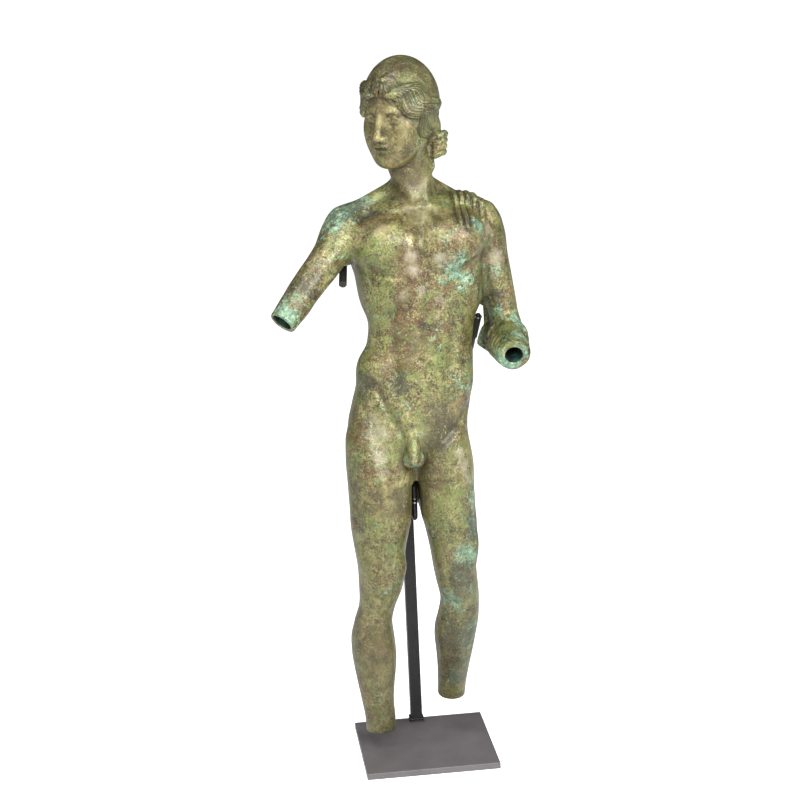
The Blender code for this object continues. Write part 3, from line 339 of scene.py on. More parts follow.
# soft patches of the patina, some of them standing in for painted highlights or painted shade: x, y, z
# and radius
VERDIGRIS = ((90, 30, 505, 16), (100, 30, 490, 14), (124, -14, 522, 16), (100, -50, 490, 14),
             (80, -42, 650, 8), (58, -58, 600, 16), (70, -52, 590, 14), (40, -60, 588, 12),
             (46, -54, 222, 20), (40, -52, 205, 16), (70, -30, 330, 22), (66, -40, 290, 20),
             (52, -52, 262, 16), (60, -20, 150, 22), (40, -20, 90, 16), (-70, 0, 668, 22),
             (-52, 6, 676, 16), (-142, -62, 562, 16), (-128, -54, 580, 14), (117, -52, 494, 14),
             (122, -40, 512, 14), (110, 10, 540, 16), (100, 30, 560, 26), (100, 34, 620, 26),
             (30, 22, 745, 14), (-8, -50, 380, 9), (12, -40, 770, 7), (104, -18, 588, 8),
             (96, 4, 640, 16))
RUSSET = ((-14, -48, 540, 22), (10, -50, 520, 20), (-20, -46, 500, 20), (40, -48, 560, 20),
          (30, -50, 530, 24), (-30, -46, 470, 20), (-128, -52, 585, 18), (108, -12, 600, 18),
          (60, -50, 640, 16), (20, -40, 690, 16), (-50, -20, 160, 22), (70, -20, 240, 22),
          (14, -30, 735, 14), (0, -50, 600, 16), (98, -16, 560, 14))
# pale patches where the metal was handled or cleaned, which also carry painted highlights
WORN_AND_HIGHLIGHT_SPOTS = ((-2, -50, 632, 11), (2, -52, 620, 13), (5, -54, 604, 12), (34, -56, 616, 9),
          (44, -60, 606, 11), (56, -58, 597, 10), (36, -56, 566, 12), (30, -54, 552, 9),
          (-8, -52, 572, 9), (12, -52, 580, 8), (-56, -44, 450, 12), (-52, -48, 432, 16),
          (-47, -50, 412, 17), (-45, -50, 388, 14), (-40, -50, 368, 9), (52, -50, 386, 10),
          (54, -48, 368, 11), (56, -46, 352, 9), (-66, -18, 650, 11), (-92, -26, 618, 12),
          (-104, -34, 600, 11), (-136, -54, 568, 10), (98, -28, 640, 10), (106, -20, 604, 15),
          (108, -22, 584, 15), (114, -22, 562, 14), (30, 5, 842, 9))
# a brown film on the cap and the left knee, and painted shade under the chin, in the groin and between
# the thighs
UMBER_AND_SHADE_SPOTS = ((10, -20, 826, 36), (34, 0, 812, 32), (-20, -10, 826, 30), (8, -30, 704, 22),
         (28, -44, 400, 22), (20, -30, 360, 26), (46, -44, 222, 16), (34, -48, 412, 22),
         (24, -46, 430, 18), (-8, -40, 330, 18))
OCHRE = ((-14, -42, 765, 34), (-4, -36, 735, 26), (8, -24, 700, 26), (14, -44, 662, 26),
         (40, -40, 668, 18), (52, -48, 432, 18), (-30, -44, 664, 18), (8, -52, 520, 16),
         (-40, -44, 330, 24), (-50, -30, 120, 26))
SMOKY = ((44, -50, 420, 18), (30, -46, 400, 14), (46, -54, 240, 18), (-60, -30, 470, 16),
         (-20, -50, 470, 16), (-57, 0, 668, 22), (-40, -15, 660, 16), (-70, -5, 660, 16),
         (-16, -15, 690, 12), (66, -40, 650, 14), (104, -20, 560, 18), (38, -30, 150, 30),
         (40, -20, 100, 26), (62, -30, 290, 26), (-120, -50, 590, 16), (100, 30, 600, 30),
         (-50, 20, 120, 24))


# the distance that untouched cells hold, in mm
FAR = 60.0


class Clay:
    """Modelling clay on a regular grid: signed distances in mm, below zero inside."""

    def __init__(self, low, high, cell):
        self.low = np.array(low, float)
        self.cell = cell
        counts = [int(math.ceil((h - l) / cell)) + 1 for l, h in zip(low, high)]
        self.axes = [l + cell * np.arange(n, dtype=np.float32) for l, n in zip(low, counts)]
        self.axes = [a.astype(np.float32) for a in self.axes]
        self.field = np.full(counts, FAR, np.float32)

    def window(self, low, high):
        """The cells between two corners, and their coordinates as open arrays."""
        spans = []
        for axis, a, b in zip(self.axes, low, high):
            start = int(np.searchsorted(axis, a))
            spans.append(slice(start, max(start, int(np.searchsorted(axis, b)))))
        x, y, z = (axis[span] for axis, span in zip(self.axes, spans))
        return tuple(spans), x[:, None, None], y[None, :, None], z[None, None, :]

    def add(self, shape, blend=4.0):
        low, high, distance = shape
        spans, x, y, z = self.window(low - blend, high + blend)
        here = self.field[spans]
        if here.size:
            new = distance(x, y, z)
            h = np.maximum(blend - np.abs(here - new), 0) / blend
            self.field[spans] = np.minimum(here, new) - h * h * blend * 0.25

    def cut(self, shape, blend=1.0):
        low, high, distance = shape
        spans, x, y, z = self.window(low - blend, high + blend)
        here = self.field[spans]
        if here.size:
            new = -distance(x, y, z)
            h = np.maximum(blend - np.abs(here - new), 0) / blend
            self.field[spans] = np.maximum(here, new) + h * h * blend * 0.25

    def near(self, path, reach):
        """Distance from each cell to a path, and how far along it (0 to 1) the nearest point is."""
        path = np.asarray(path, float)
        low, high = path.min(0) - reach, path.max(0) + reach
        spans, x, y, z = self.window(low, high)
        shape = self.field[spans].shape
        best = np.full(shape, FAR, np.float32)
        along = np.zeros(shape, np.float32)
        start = [s.start for s in spans]
        count = len(path) - 1
        for i, (a, b) in enumerate(zip(path[:-1], path[1:])):
            inner, x, y, z = self.window(np.minimum(a, b) - reach, np.maximum(a, b) + reach)
            local = tuple(slice(s.start - o, s.stop - o) for s, o in zip(inner, start))
            if not best[local].size:
                continue
            d, t = segment(a, b, x, y, z)
            old = best[local]
            closer = d < old
            best[local] = np.where(closer, d, old)
            along[local] = np.where(closer, (i + t) / count, along[local])
        return spans, best, along

    def crease(self, path, width, depth, taper=0.15):
        """Presses a groove along a path, or raises a ridge where depth is below zero."""
        if len(path) < 2:
            return
        spans, d, along = self.near(path, 2.6 * width)
        if d.size:
            ends = np.clip(np.minimum(along, 1 - along) / max(taper, 1e-3), 0, 1)
            self.field[spans] += depth * ends * np.exp(-((d / width) ** 2))

    def groove(self, points, width, depth, taper=0.15, back=False):
        """A crease that follows (x, z) points laid on the front or the back."""
        self.crease(self.lay(points, back), width, depth, taper)

    def soften(self, width):
        """Evens out the whole field over a width in mm."""
        for _ in range(max(1, round(2 * (width / self.cell) ** 2))):
            for axis in range(3):
                f = np.moveaxis(self.field, axis, 0)
                f[1:-1] = 0.25 * (f[:-2] + f[2:]) + 0.5 * f[1:-1]

    def swell(self, centre, radii, depth):
        """Presses in (or raises, below zero) a soft round area."""
        c, r = np.array(centre, float), np.array(radii, float)
        spans, x, y, z = self.window(c - 2.6 * r, c + 2.6 * r)
        q = ((x - c[0]) / r[0]) ** 2 + ((y - c[1]) / r[1]) ** 2 + ((z - c[2]) / r[2]) ** 2
        self.field[spans] += depth * np.exp(-q)

    def surface_y(self, x, z, back=False):
        """Where a line along Y first meets the clay, seen from the front or the back."""
        i = int(round((x - self.low[0]) / self.cell))
        k = int(round((z - self.low[2]) / self.cell))
        if not (0 <= i < self.field.shape[0] and 0 <= k < self.field.shape[2]):
            return self.low[1]
        line = self.field[i, :, k]
        line = line[::-1] if back else line
        inside = np.nonzero(line < 0)[0]
        if not len(inside):
            return None
        j = inside[0]
        step = line[j - 1] / (line[j - 1] - line[j]) if j else 0
        place = (j - 1 + step) * self.cell
        return self.axes[1][-1] - place if back else self.low[1] + place

    def lay(self, points, back=False, step=4.0):
        """A path of (x, z) points laid on the clay from the front or the back."""
        flat = [p for p in smooth_path(points, step) if self.low[0] + 2 < p[0] < self.axes[0][-1] - 2
                and self.low[2] + 2 < p[1] < self.axes[2][-1] - 2]
        found = [(x, self.surface_y(x, z, back), z) for x, z in flat]
        found = [p for p in found if p[1] is not None]
        return np.array(found)


def beyond(point, normal, reach):
    """All that lies past a plane, out to a reach around its point."""
    p, n = np.array(point, float), np.array(normal, float)
    n = n / np.linalg.norm(n)

    def distance(x, y, z):
        return -((x - p[0]) * n[0] + (y - p[1]) * n[1] + (z - p[2]) * n[2])
    return p - reach, p + reach, distance


def segment(a, b, x, y, z):
    """Distance to a straight stretch, and how far along it the nearest point is."""
    d = b - a
    px, py, pz = x - a[0], y - a[1], z - a[2]
    t = np.clip((px * d[0] + py * d[1] + pz * d[2]) / max(float(d @ d), 1e-6), 0, 1)
    return np.sqrt((px - t * d[0]) ** 2 + (py - t * d[1]) ** 2 + (pz - t * d[2]) ** 2), t


def smooth_path(points, step):
    """Catmull-Rom curve through points, with a point about every step."""
    p = np.asarray(points, float)
    if len(p) < 3:
        n = max(2, int(np.linalg.norm(p[-1] - p[0]) / step) + 1)
        return p[0] + (p[-1] - p[0]) * np.linspace(0, 1, n)[:, None]
    q = np.vstack([2 * p[0] - p[1], p, 2 * p[-1] - p[-2]])
    out = []
    for i in range(1, len(q) - 2):
        n = max(1, int(np.linalg.norm(q[i + 1] - q[i]) / step))
        t = (np.arange(n) / n)[:, None]
        out.append(0.5 * ((2 * q[i]) + (q[i + 1] - q[i - 1]) * t
                          + (2 * q[i - 1] - 5 * q[i] + 4 * q[i + 1] - q[i + 2]) * t**2
                          + (3 * q[i] - q[i - 1] - 3 * q[i + 1] + q[i + 2]) * t**3))
    return np.vstack(out + [p[-1:]])


def turned(lean):
    """Rotation from Euler angles in degrees, about x, then y, then z."""
    a, b, c = np.radians(lean)
    rx = np.array([[1, 0, 0], [0, np.cos(a), -np.sin(a)], [0, np.sin(a), np.cos(a)]])
    ry = np.array([[np.cos(b), 0, np.sin(b)], [0, 1, 0], [-np.sin(b), 0, np.cos(b)]])
    rz = np.array([[np.cos(c), -np.sin(c), 0], [np.sin(c), np.cos(c), 0], [0, 0, 1]])
    return rz @ ry @ rx


def ball(centre, radii, lean=(0, 0, 0), frame=None):
    """An ellipsoid."""
    c, r = np.array(centre, float), np.array(radii, float)
    turn = turned(lean)
    if frame is not None:
        c = frame(c)
        turn = frame.turn @ turn
    reach = np.sqrt((turn**2) @ (r**2))

    def distance(x, y, z):
        q = [(x - c[0]) * turn[0, i] + (y - c[1]) * turn[1, i] + (z - c[2]) * turn[2, i]
             for i in range(3)]
        k0 = np.sqrt(sum((q[i] / r[i]) ** 2 for i in range(3)))
        k1 = np.sqrt(sum((q[i] / r[i] ** 2) ** 2 for i in range(3)))
        return k0 * (k0 - 1) / np.maximum(k1, 1e-6)

    return c - reach, c + reach, distance


def rod(a, b, ra, rb=None):
    """A round bar from a to b, ra and rb thick at its ends."""
    a, b = np.array(a, float), np.array(b, float)
    rb = ra if rb is None else rb
    big = max(ra, rb)

    def distance(x, y, z):
        d, t = segment(a, b, x, y, z)
        return d - (ra + (rb - ra) * t)

    return np.minimum(a, b) - big, np.maximum(a, b) + big, distance


def tapered(path, radii):
    """Round bars end to end, as shapes."""
    path = [np.array(p, float) for p in path]
    radii = np.interp(np.linspace(0, 1, len(path)), np.linspace(0, 1, len(radii)), radii)
    return [rod(a, b, ra, rb) for a, b, ra, rb in zip(path[:-1], path[1:], radii[:-1], radii[1:])]


def curve_table(stations, samples=160):
    """Station rows resampled finely by monotone cubic interpolation over their first column."""
    s = np.asarray(stations, float)
    s = s[np.argsort(s[:, 0])]
    t = s[:, 0]
    fine = np.linspace(t[0], t[-1], samples)
    rows = [fine]
    for column in s[:, 1:].T:
        h = np.diff(t)
        slope = np.diff(column) / h
        m = np.empty(len(t))
        m[0], m[-1] = slope[0], slope[-1]
        same = slope[:-1] * slope[1:] > 0
        w1, w2 = 2 * h[1:] + h[:-1], h[1:] + 2 * h[:-1]
        with np.errstate(divide="ignore", invalid="ignore"):
            harmonic = (w1 + w2) / (w1 / slope[:-1] + w2 / slope[1:])
        m[1:-1] = np.where(same, harmonic, 0)
        i = np.clip(np.searchsorted(t, fine, side="right") - 1, 0, len(t) - 2)
        u = (fine - t[i]) / h[i]
        rows.append((1 + 2 * u) * (1 - u) ** 2 * column[i] + u * (1 - u) ** 2 * h[i] * m[i]
                    + u * u * (3 - 2 * u) * column[i + 1] + u * u * (u - 1) * h[i] * m[i + 1])
    return np.array(rows)


def loft(stations, square=2.0, origin=(0, 0, 0), axis=(0, 0, 1), side=(1, 0, 0)):
    """A solid of oval sections along an axis. A station is: place along the axis, sideways
    centre, half width, front edge, back edge. Sections are squarer than ovals above 2."""
    table = curve_table(stations)
    o, w = np.array(origin, float), np.array(axis, float)
    w = w / np.linalg.norm(w)
    v = np.cross(w, side)
    v = v / np.linalg.norm(v)
    u = np.cross(v, w)
    places, centre, half = table[0], table[1], np.maximum(table[2], 0.3)
    mid, deep = (table[3] + table[4]) / 2, np.maximum((table[4] - table[3]) / 2, 0.3)
    corners = np.array([o + s * w + a * u + b * v for s, c, h, f, k in table.T
                        for a in (c - h, c + h) for b in (f, k)])
    n = square

    def distance(x, y, z):
        px, py, pz = x - o[0], y - o[1], z - o[2]
        s = px * w[0] + py * w[1] + pz * w[2]
        a, b, c, d = (np.interp(s, places, row).astype(np.float32) for row in (half, deep, centre, mid))
        p = np.abs(px * u[0] + py * u[1] + pz * u[2] - c) / a
        q = np.abs(px * v[0] + py * v[1] + pz * v[2] - d) / b
        p, q = np.maximum(p, 1e-4), np.maximum(q, 1e-4)
        rho = (p**n + q**n) ** (1 / n)
        steep = rho ** (1 - n) * np.sqrt((p ** (n - 1) / a) ** 2 + (q ** (n - 1) / b) ** 2)
        d = (rho - 1) / steep
        return np.maximum(d, np.maximum(s - places[-1], places[0] - s))

    return corners.min(0), corners.max(0), distance


def torso(clay):
    """Chest, waist and hips, as one loft of oval sections."""
    clay.add(loft([(684, 19, 30, -14, 30), (672, 19, 50, -24, 38), (655, 18.5, 64, -38, 46),
                   (630, 17, 70, -49, 50), (603, 16, 70.5, -54, 50), (585, 17, 70, -53, 48),
                   (568, 18, 68.5, -50, 46), (549, 16.6, 64.6, -48, 42), (530, 15.5, 61.5, -46, 38),
                   (511, 12.7, 61.7, -45, 35), (492, 9.4, 65.5, -46, 36), (473, 5.0, 66.5, -48, 40),
                   (453, 2.4, 68.6, -49, 45), (434, -1, 70.6, -48, 49), (415, -4, 69, -45, 50),
                   (396, -5, 62, -38, 48), (376, -4, 56, -28, 40), (356, -3, 44, -14, 26)],
                  square=2.35), 1)


def legs(clay):
    """The standing right leg and the bent left one, down to the broken shins."""
    right = [(440, -30, 28, -28, 32), (418, -37, 38, -42, 42), (400, -39.3, 42, -47, 45),
             (376, -39.8, 41.4, -50, 44), (356, -39.8, 40.4, -51, 40), (321, -40.4, 38.8, -50, 34),
             (291, -43.8, 35, -48, 30), (261, -45.4, 30, -44, 26), (241, -45, 28, -40, 24),
             (221, -45.9, 27, -37, 21), (205, -48.5, 24.3, -33, 20), (191, -52, 22, -29, 21),
             (171, -57, 23, -26, 26), (151, -58.3, 26.2, -24, 31), (130, -57.5, 27, -23, 32),
             (110, -56.9, 25.3, -21, 29), (89, -56.8, 22.3, -19, 24), (68, -56, 19.7, -17, 20),
             (47, -54, 18.6, -15, 18), (10, -53.2, 18, -14, 18)]
    left = [(440, 26, 25, -28, 28), (418, 31, 30, -43, 36), (398, 33.5, 32.5, -51, 38),
            (354, 36.3, 34.3, -56, 34), (315, 36.6, 33.4, -58, 26), (287, 39.6, 30.6, -57, 19),
            (258, 40.4, 26.6, -55, 12), (239, 41.6, 25.6, -53, 8), (220, 43.8, 24.6, -50, 5),
            (199, 46.5, 23.3, -44, 6), (178, 45.2, 24.8, -37, 14), (162, 43, 26, -32, 21),
            (145, 41.3, 25, -27, 26), (123, 40.6, 22.2, -19, 30), (100, 39, 19.3, -11, 32),
            (76, 37, 17.4, -3, 32), (40, 35, 16.5, 8, 40)]
    clay.add(loft(right, square=2.15), 12)
    clay.add(loft(left, square=2.15), 12)
    # buttocks, with the higher one over the standing leg
    clay.add(ball((-37, 22, 404), (34, 33, 40), (0, 0, -6)), 14)
    clay.add(ball((32, 19, 399), (31, 32, 39), (0, 0, 6)), 14)
    clay.add(ball((-3, 4, 372), (16, 30, 24)), 10)
    clay.soften(2.2)
    clay.groove([(3, 438), (0, 412), (-2, 380), (-3, 352)], 6, 8, back=True)
    clay.groove([(-70, 362), (-52, 353), (-30, 352), (-10, 360)], 6, 4, 0.3, back=True)
    clay.groove([(60, 362), (44, 354), (26, 354), (8, 362)], 6, 3.5, 0.3, back=True)


def shoulders(clay):
    """Neck and shoulder muscles, chest and shoulder blades."""
    # trapezius, from the neck out to the shoulder points
    clay.add(rod((8, 18, 690), (-68, 9, 658), 15, 11.5), 14)
    clay.add(rod((24, 18, 690), (92, 12, 653), 16, 11), 14)
    # deltoids
    clay.add(ball((-72, 0, 643), (22, 25, 30), (0, 30, 0)), 18)
    clay.add(ball((93, 5, 637), (21, 26, 34), (0, -12, 0)), 18)
    # chest muscles, flat pads that end in a clear lower edge
    clay.add(ball((-22, -30, 631), (44, 27, 32), (4, 12, -12)), 12)
    clay.add(ball((53, -30, 630), (42, 27, 32), (4, -12, 12)), 12)
    # shoulder blades and the broad back muscles
    clay.add(ball((-32, 34, 622), (30, 18, 40), (0, 10, 0)), 18)
    clay.add(ball((64, 34, 620), (30, 18, 40), (0, -10, 0)), 18)
    clay.add(ball((-38, 12, 592), (14, 30, 38), (0, 6, 0)), 18)
    clay.add(ball((77, 12, 586), (14, 30, 42), (0, -6, 0)), 18)


def arms(clay):
    """Both arms, as far as they are left."""
    # right arm, broken off below the elbow
    start, end = np.array((-62.0, 2, 648)), np.array((-149.0, -60, 555))
    length = float(np.linalg.norm(end - start))
    clay.add(loft([(0, 0, 17, -20, 20), (18, 0, 20, -23, 23), (40, 0, 20.3, -23, 23),
                   (60, 0.5, 19.8, -22, 22), (80, 0, 19, -20.5, 20), (98, 0, 18.4, -19.5, 19.5),
                   (114, 1, 18, -18.5, 18.5), (length, 1, 16, -16.3, 16.3),
                   (length + 20, 1, 15.6, -16, 16)], origin=start, axis=end - start,
                  side=(0.8, -0.25, -0.6)), 14)
    # left upper arm, and the forearm that comes forward out of the cloth
    clay.add(loft([(0, -4, 11, -16, 16), (14, -4, 18, -22, 22), (34, -2.5, 19.5, -24, 24),
                   (60, -1.5, 18.6, -23, 23), (90, -0.5, 18, -21, 21), (118, 0, 17.6, -19, 19),
                   (140, 0, 17, -18, 18), (154, 0, 13, -12, 12)], origin=(97, 6, 662),
                  axis=(22, 8, -150), side=(1, 0, 0)), 12)
    elbow, stub = np.array((118.5, 10, 521)), np.array((115.6, -55, 498))
    clay.add(loft([(-8, 0, 14, -14, 14), (10, 0, 18, -20, 19), (40, 0, 17.6, -20, 19),
                   (62, 0, 16.6, -20, 19), (90, 0, 16.4, -19, 19)], origin=elbow, axis=stub - elbow,
                  side=(1, 0, 0)), 8)
    clay.add(ball((-69, 2, 614), (9, 12, 9)), 8)


def cloak(clay):
    """Cloth over the left shoulder, down behind the arm and round the forearm."""
    # bunch on the shoulder: five folds side by side, laid over the crest and broken off in front
    folds = []
    for i in range(5):
        x, low, crest = 60 + 7.6 * i, 60.5 + 7.2 * i, (681, 681, 680, 677, 671)[i]
        path = [(x + 1, 30, crest - 15), (x + 0.5, 18, crest - 5), (x, 5, crest + 0.5),
                (x, -9, crest - 1.5)]
        for t, z in ((0.4, 667), (0.7, 658), (1.0, (653, 649, 647, 648, 651)[i])):
            path.append((x + (low - x) * t, clay.surface_y(low, z) - 2.2, z))
        path.insert(4, ((path[3][0] + path[4][0]) / 2, (path[3][1] + path[4][1]) / 2 - 1.6,
                        (path[3][2] + path[4][2]) / 2 + 1.6))
        folds.append(smooth_path(path, 2.5))
    for path in folds:
        for shape in tapered(path + (0, 4.2, -5), (5, 6, 6, 5.5)):
            clay.add(shape, 2)
    for path in folds:
        for shape in tapered(path, (3.4, 3.9, 3.9, 3.8, 3.5)):
            clay.add(shape, 0.7)
    for path in folds:
        end = path[-1]
        clay.crease(path[4:] + (-3.8, -1.2, 0.6), 1.5, 3.4, 0.03)
        clay.crease(path[10:] + (0.6, -4.0, 1.2), 0.7, 0.9, 0.1)
        clay.cut(ball(end + (-1.6, -3, -2.6), (1.7, 3.6, 2.8)), 0.5)
    # the fall behind the arm
    clay.add(loft([(0, 0, 12, -9, 9), (20, 1, 19, -9, 9), (60, 3, 20, -8, 8), (110, 7, 15, -6, 6),
                   (150, 4.5, 15, -5, 5), (172, -4.5, 18, -4.5, 4.5), (190, -6, 17, -4, 4)],
                  origin=(88, 34, 668), axis=(20, 0, -172), side=(1, 0, 0)), 6)
    for i in range(4):
        x = 86 + 9 * i
        clay.groove([(x - 4, 645), (x + 1, 590), (x + 6, 540), (x + 4, 488)], 2.6, -4.0, 0.08, back=True)
        clay.crease(smooth_path([(x + 2, 29, 556), (x + 1, 30, 530), (x - 3 - 1.5 * i, 30.5, 500),
                                 (x - 6 - 2 * i, 31, 484)], 2), 1.3, -2.4, 0.05)
    clay.cut(beyond((93, 34, 489), (-0.604, 0, -0.797), 24), 1)
    # from the fall forward under the arm, and the turns round the forearm
    clay.add(loft([(0, 0, 13, -14, 12), (20, 1, 17, -24, 18), (40, 4, 21, -27, 20.5),
                   (58, 0.5, 20, -25, 16.5), (72, -2.5, 17.5, -21, 13.5), (86, -5.5, 15, -16.5, 13)],
                  origin=(105, 32, 508), axis=(12, -62, -6), side=(1, 0.2, 0)), 5)
    for i in range(7):
        ring = []
        for t in np.linspace(-2.6, 2.8, 33):
            up = np.cos(t)
            tall = 23.5 - 1.6 * i if up > 0 else 27 - 1.1 * i
            ring.append((117 - 0.2 * i + (23.6 - 1.0 * i) * np.sin(t),
                         -2 - 7.6 * i - 3 * up + 2.4 * np.sin(2 * t + 1.3 * i),
                         504 - 0.8 * i + tall * up))
        for shape in tapered(np.array(ring), (1.2, 2.9, 3.9, 3.4, 3.8, 3.0, 1.0)):
            clay.add(shape, 0.6)
        if i:
            clay.crease(np.array(ring[4:-4]) + (0, 3.6, 1.2), 1.6, 4.2, 0.05)


# where each limb is broken: centre, way it faces, depth of the hollow, outer radius inside and at the rim
BREAKS = (((-149, -60, 555), (-87, -62, -93), 26, 17.0, 16.4),
          ((115.6, -55, 498), (-3, -65, -23), 26, 14.8, 15.2),
          ((-53.4, 2, 30), (0, 0, -1), 34, 18.2, 17.4),
          ((36.8, 17, 63), (-0.06, 0.24, -0.97), 30, 16.6, 16.0))


def breaks(clay):
    """The four breaks: flat across, open, with the wall of the casting round a hollow."""
    wall = WALL / UNIT
    for centre, outward, deep, inner, rim in BREAKS:
        c, n = np.array(centre, float), np.array(outward, float)
        n /= np.linalg.norm(n)
        clay.cut(beyond(c, n, 45), 1)
        clay.cut(rod(c - n * deep, c + n * 16, inner - wall, rim - wall), 1.5)
    # the gap between the thighs, wide enough for the prong that stands in it
    half = 0.5 * ROD + FIT
    for z in range(344, 298, -2):
        r = half / UNIT + 0.035 * (344 - z)
        clay.cut(rod((SADDLE_X, -90, z), (SADDLE_X, 70 if z < 305 else -6, z), r, r), 2)


def neck(clay):
    """The column of the neck, its two long muscles and the pit between them."""
    clay.add(loft([(0, 0, 30, -24, 26), (14, 0, 25, -23, 24), (40, 0, 22.5, -22, 23),
                   (90, 0, 22, -22, 22)], origin=(16, 9, 664), axis=(-8, -16, 78), side=(1, 0, 0)), 12)
    clay.add(rod((-14, 4, 730), (11, -24, 680), 6, 4.5), 12)
    clay.add(rod((30, 8, 726), (24, -24, 680), 6, 4.5), 12)
    clay.swell((18, -33, 678), (6, 8, 7), 4)


def front_carving(clay):
    """Furrows and ridges of the chest and belly."""
    mid = [(17, 668), (15, 640), (14, 612), (14, 598)]
    clay.groove(mid, 5.5, 4.6, 0.2)
    # lower edges of the chest
    clay.groove([(10, 600), (-8, 597), (-28, 599), (-44, 606), (-56, 618)], 4.6, 4.0, 0.2)
    clay.groove([(20, 600), (38, 597), (58, 599), (74, 606), (84, 618)], 4.6, 4.0, 0.2)
    # furrow between chest and shoulder
    clay.groove([(-36, 664), (-50, 648), (-58, 630), (-60, 612)], 6, 3, 0.3)
    clay.groove([(84, 641), (87, 632), (88, 622), (86, 610)], 6, 2.6, 0.3)
    # collar bones
    clay.groove([(10, 671), (-8, 670), (-30, 669), (-54, 662)], 5, -3, 0.3)
    clay.groove([(26, 671), (36, 670.6), (45, 670), (53, 669)], 5, -3, 0.3)
    # arch of the ribs
    clay.groove([(13, 590), (-4, 572), (-22, 556), (-38, 545)], 5.6, 3.4, 0.25)
    clay.groove([(15, 590), (34, 572), (52, 556), (66, 543)], 5.6, 3.4, 0.25)
    # middle line of the belly, the sides of its long muscle, and the bands across it
    clay.groove([(14, 586), (14, 550), (12, 520), (9, 500)], 4.4, 3.4, 0.2)
    clay.groove([(8, 492), (4, 465), (0, 440), (-3, 422)], 5, 1.4, 0.3)
    clay.groove([(-24, 560), (-22, 530), (-20, 500), (-22, 470), (-18, 440)], 6, 3.2, 0.3)
    clay.groove([(52, 558), (50, 530), (44, 500), (36, 470), (24, 436)], 6, 3.2, 0.3)
    for z, cx in ((562, 14), (532, 13), (504, 10)):
        clay.groove([(cx - 30, z + 3), (cx - 12, z), (cx, z + 1), (cx + 12, z), (cx + 30, z + 3)], 5,
                    1.5, 0.3)
    # navel
    y = clay.surface_y(9, 497)
    clay.swell((9, y, 497), (3.2, 5, 3.6), 5)
    # muscle over each hip, and the groin furrow below it
    clay.add(ball((-42, -12, 482), (18, 25, 20), (0, -10, 0)), 16)
    clay.add(ball((52, -12, 468), (17, 25, 20), (0, 10, 0)), 16)
    clay.groove([(-62, 486), (-50, 476), (-42, 464), (-32, 444), (-23, 424), (-13, 404)], 4.2, 6.0, 0.15)
    clay.groove([(70, 440), (58, 426), (44, 412), (26, 398), (10, 388)], 4.8, 4.8, 0.2)
    # flank muscles on the ribs
    for i in range(3):
        z = 582 - 17 * i
        clay.crease(np.array([(-56 + 2 * i, -32, z + 8), (-46 + i, -42, z - 2), (-38, -48, z - 8)]), 5,
                    2.2, 0.3)
        clay.crease(np.array([(86 - 2 * i, -30, z + 6), (76 - i, -40, z - 3), (68, -47, z - 8)]), 5,
                    2.2, 0.3)


def loins(clay):
    """The loins."""
    clay.add(ball((-4, -38, 402), (15, 12, 14)), 10)
    clay.add(ball((-9.5, -46, 380), (7.4, 8.5, 10.5)), 4)
    clay.add(ball((1.2, -45, 380), (7.0, 8.5, 10.5)), 4)
    clay.add(rod((-4.5, -47, 402), (-5.0, -54, 384), 7.6, 6.4), 3)
    clay.add(ball((-5.0, -56, 380), (4.8, 4.6, 4.8)), 2)


def back_carving(clay):
    """Spine, shoulder blades, dimples and hips."""
    clay.groove([(18, 664), (17, 630), (17, 590), (15, 545), (9, 490), (4, 446)], 9, 6, 0.2, back=True)
    # edges of the shoulder blades
    clay.groove([(-4, 655), (-8, 625), (-18, 598), (-36, 588)], 8, 3, 0.3, back=True)
    clay.groove([(38, 653), (42, 622), (52, 596), (68, 586)], 8, 3, 0.3, back=True)
    # long muscles beside the spine
    clay.groove([(-6, 560), (-8, 520), (-10, 480), (-8, 455)], 9, -3.5, 0.3, back=True)
    clay.groove([(36, 560), (34, 520), (27, 480), (20, 455)], 9, -3.5, 0.3, back=True)
    # dimples over the buttocks, and the hip line
    for x in (-14, 22):
        clay.swell((x, clay.surface_y(x, 446, True), 446), (7, 7, 6), 3)
    clay.groove([(-62, 470), (-44, 458), (-22, 448)], 7, 2.5, 0.3, back=True)
    clay.groove([(66, 464), (48, 452), (28, 444)], 7, 2.5, 0.3, back=True)
    # sides of the buttocks
    clay.swell((-76, 14, 398), (9, 20, 24), 4)
    clay.swell((66, 12, 392), (8, 20, 24), 4)


def knee(clay, x, y, z, side):
    """Kneecap, the muscles above it and the shin top. side is +1 where the inner side is at +x."""
    clay.groove([(x - 11 * side, z + 62), (x - 8 * side, z + 34), (x - 3 * side, z + 14)], 6, 1.8, 0.3)
    clay.groove([(x + 10 * side, z + 72), (x + 9 * side, z + 44), (x + 6 * side, z + 18)], 6, 1.8, 0.3)
    clay.add(ball((x + 15 * side, y + 13, z + 20), (12, 13, 19), (0, 14 * side, 0)), 8)
    clay.add(ball((x - 12 * side, y + 14, z + 32), (11, 13, 24), (0, -10 * side, 0)), 10)
    clay.add(ball((x, y + 10, z), (11.5, 8, 12.5)), 8)
    clay.groove([(x - 13 * side, z + 6), (x - 12 * side, z - 6), (x - 6 * side, z - 14)], 4, 2.4, 0.3)
    clay.groove([(x + 13 * side, z + 6), (x + 12 * side, z - 6), (x + 6 * side, z - 14)], 4, 2.4, 0.3)
    clay.add(ball((x - 1 * side, y + 11, z - 22), (8, 7, 10)), 6)


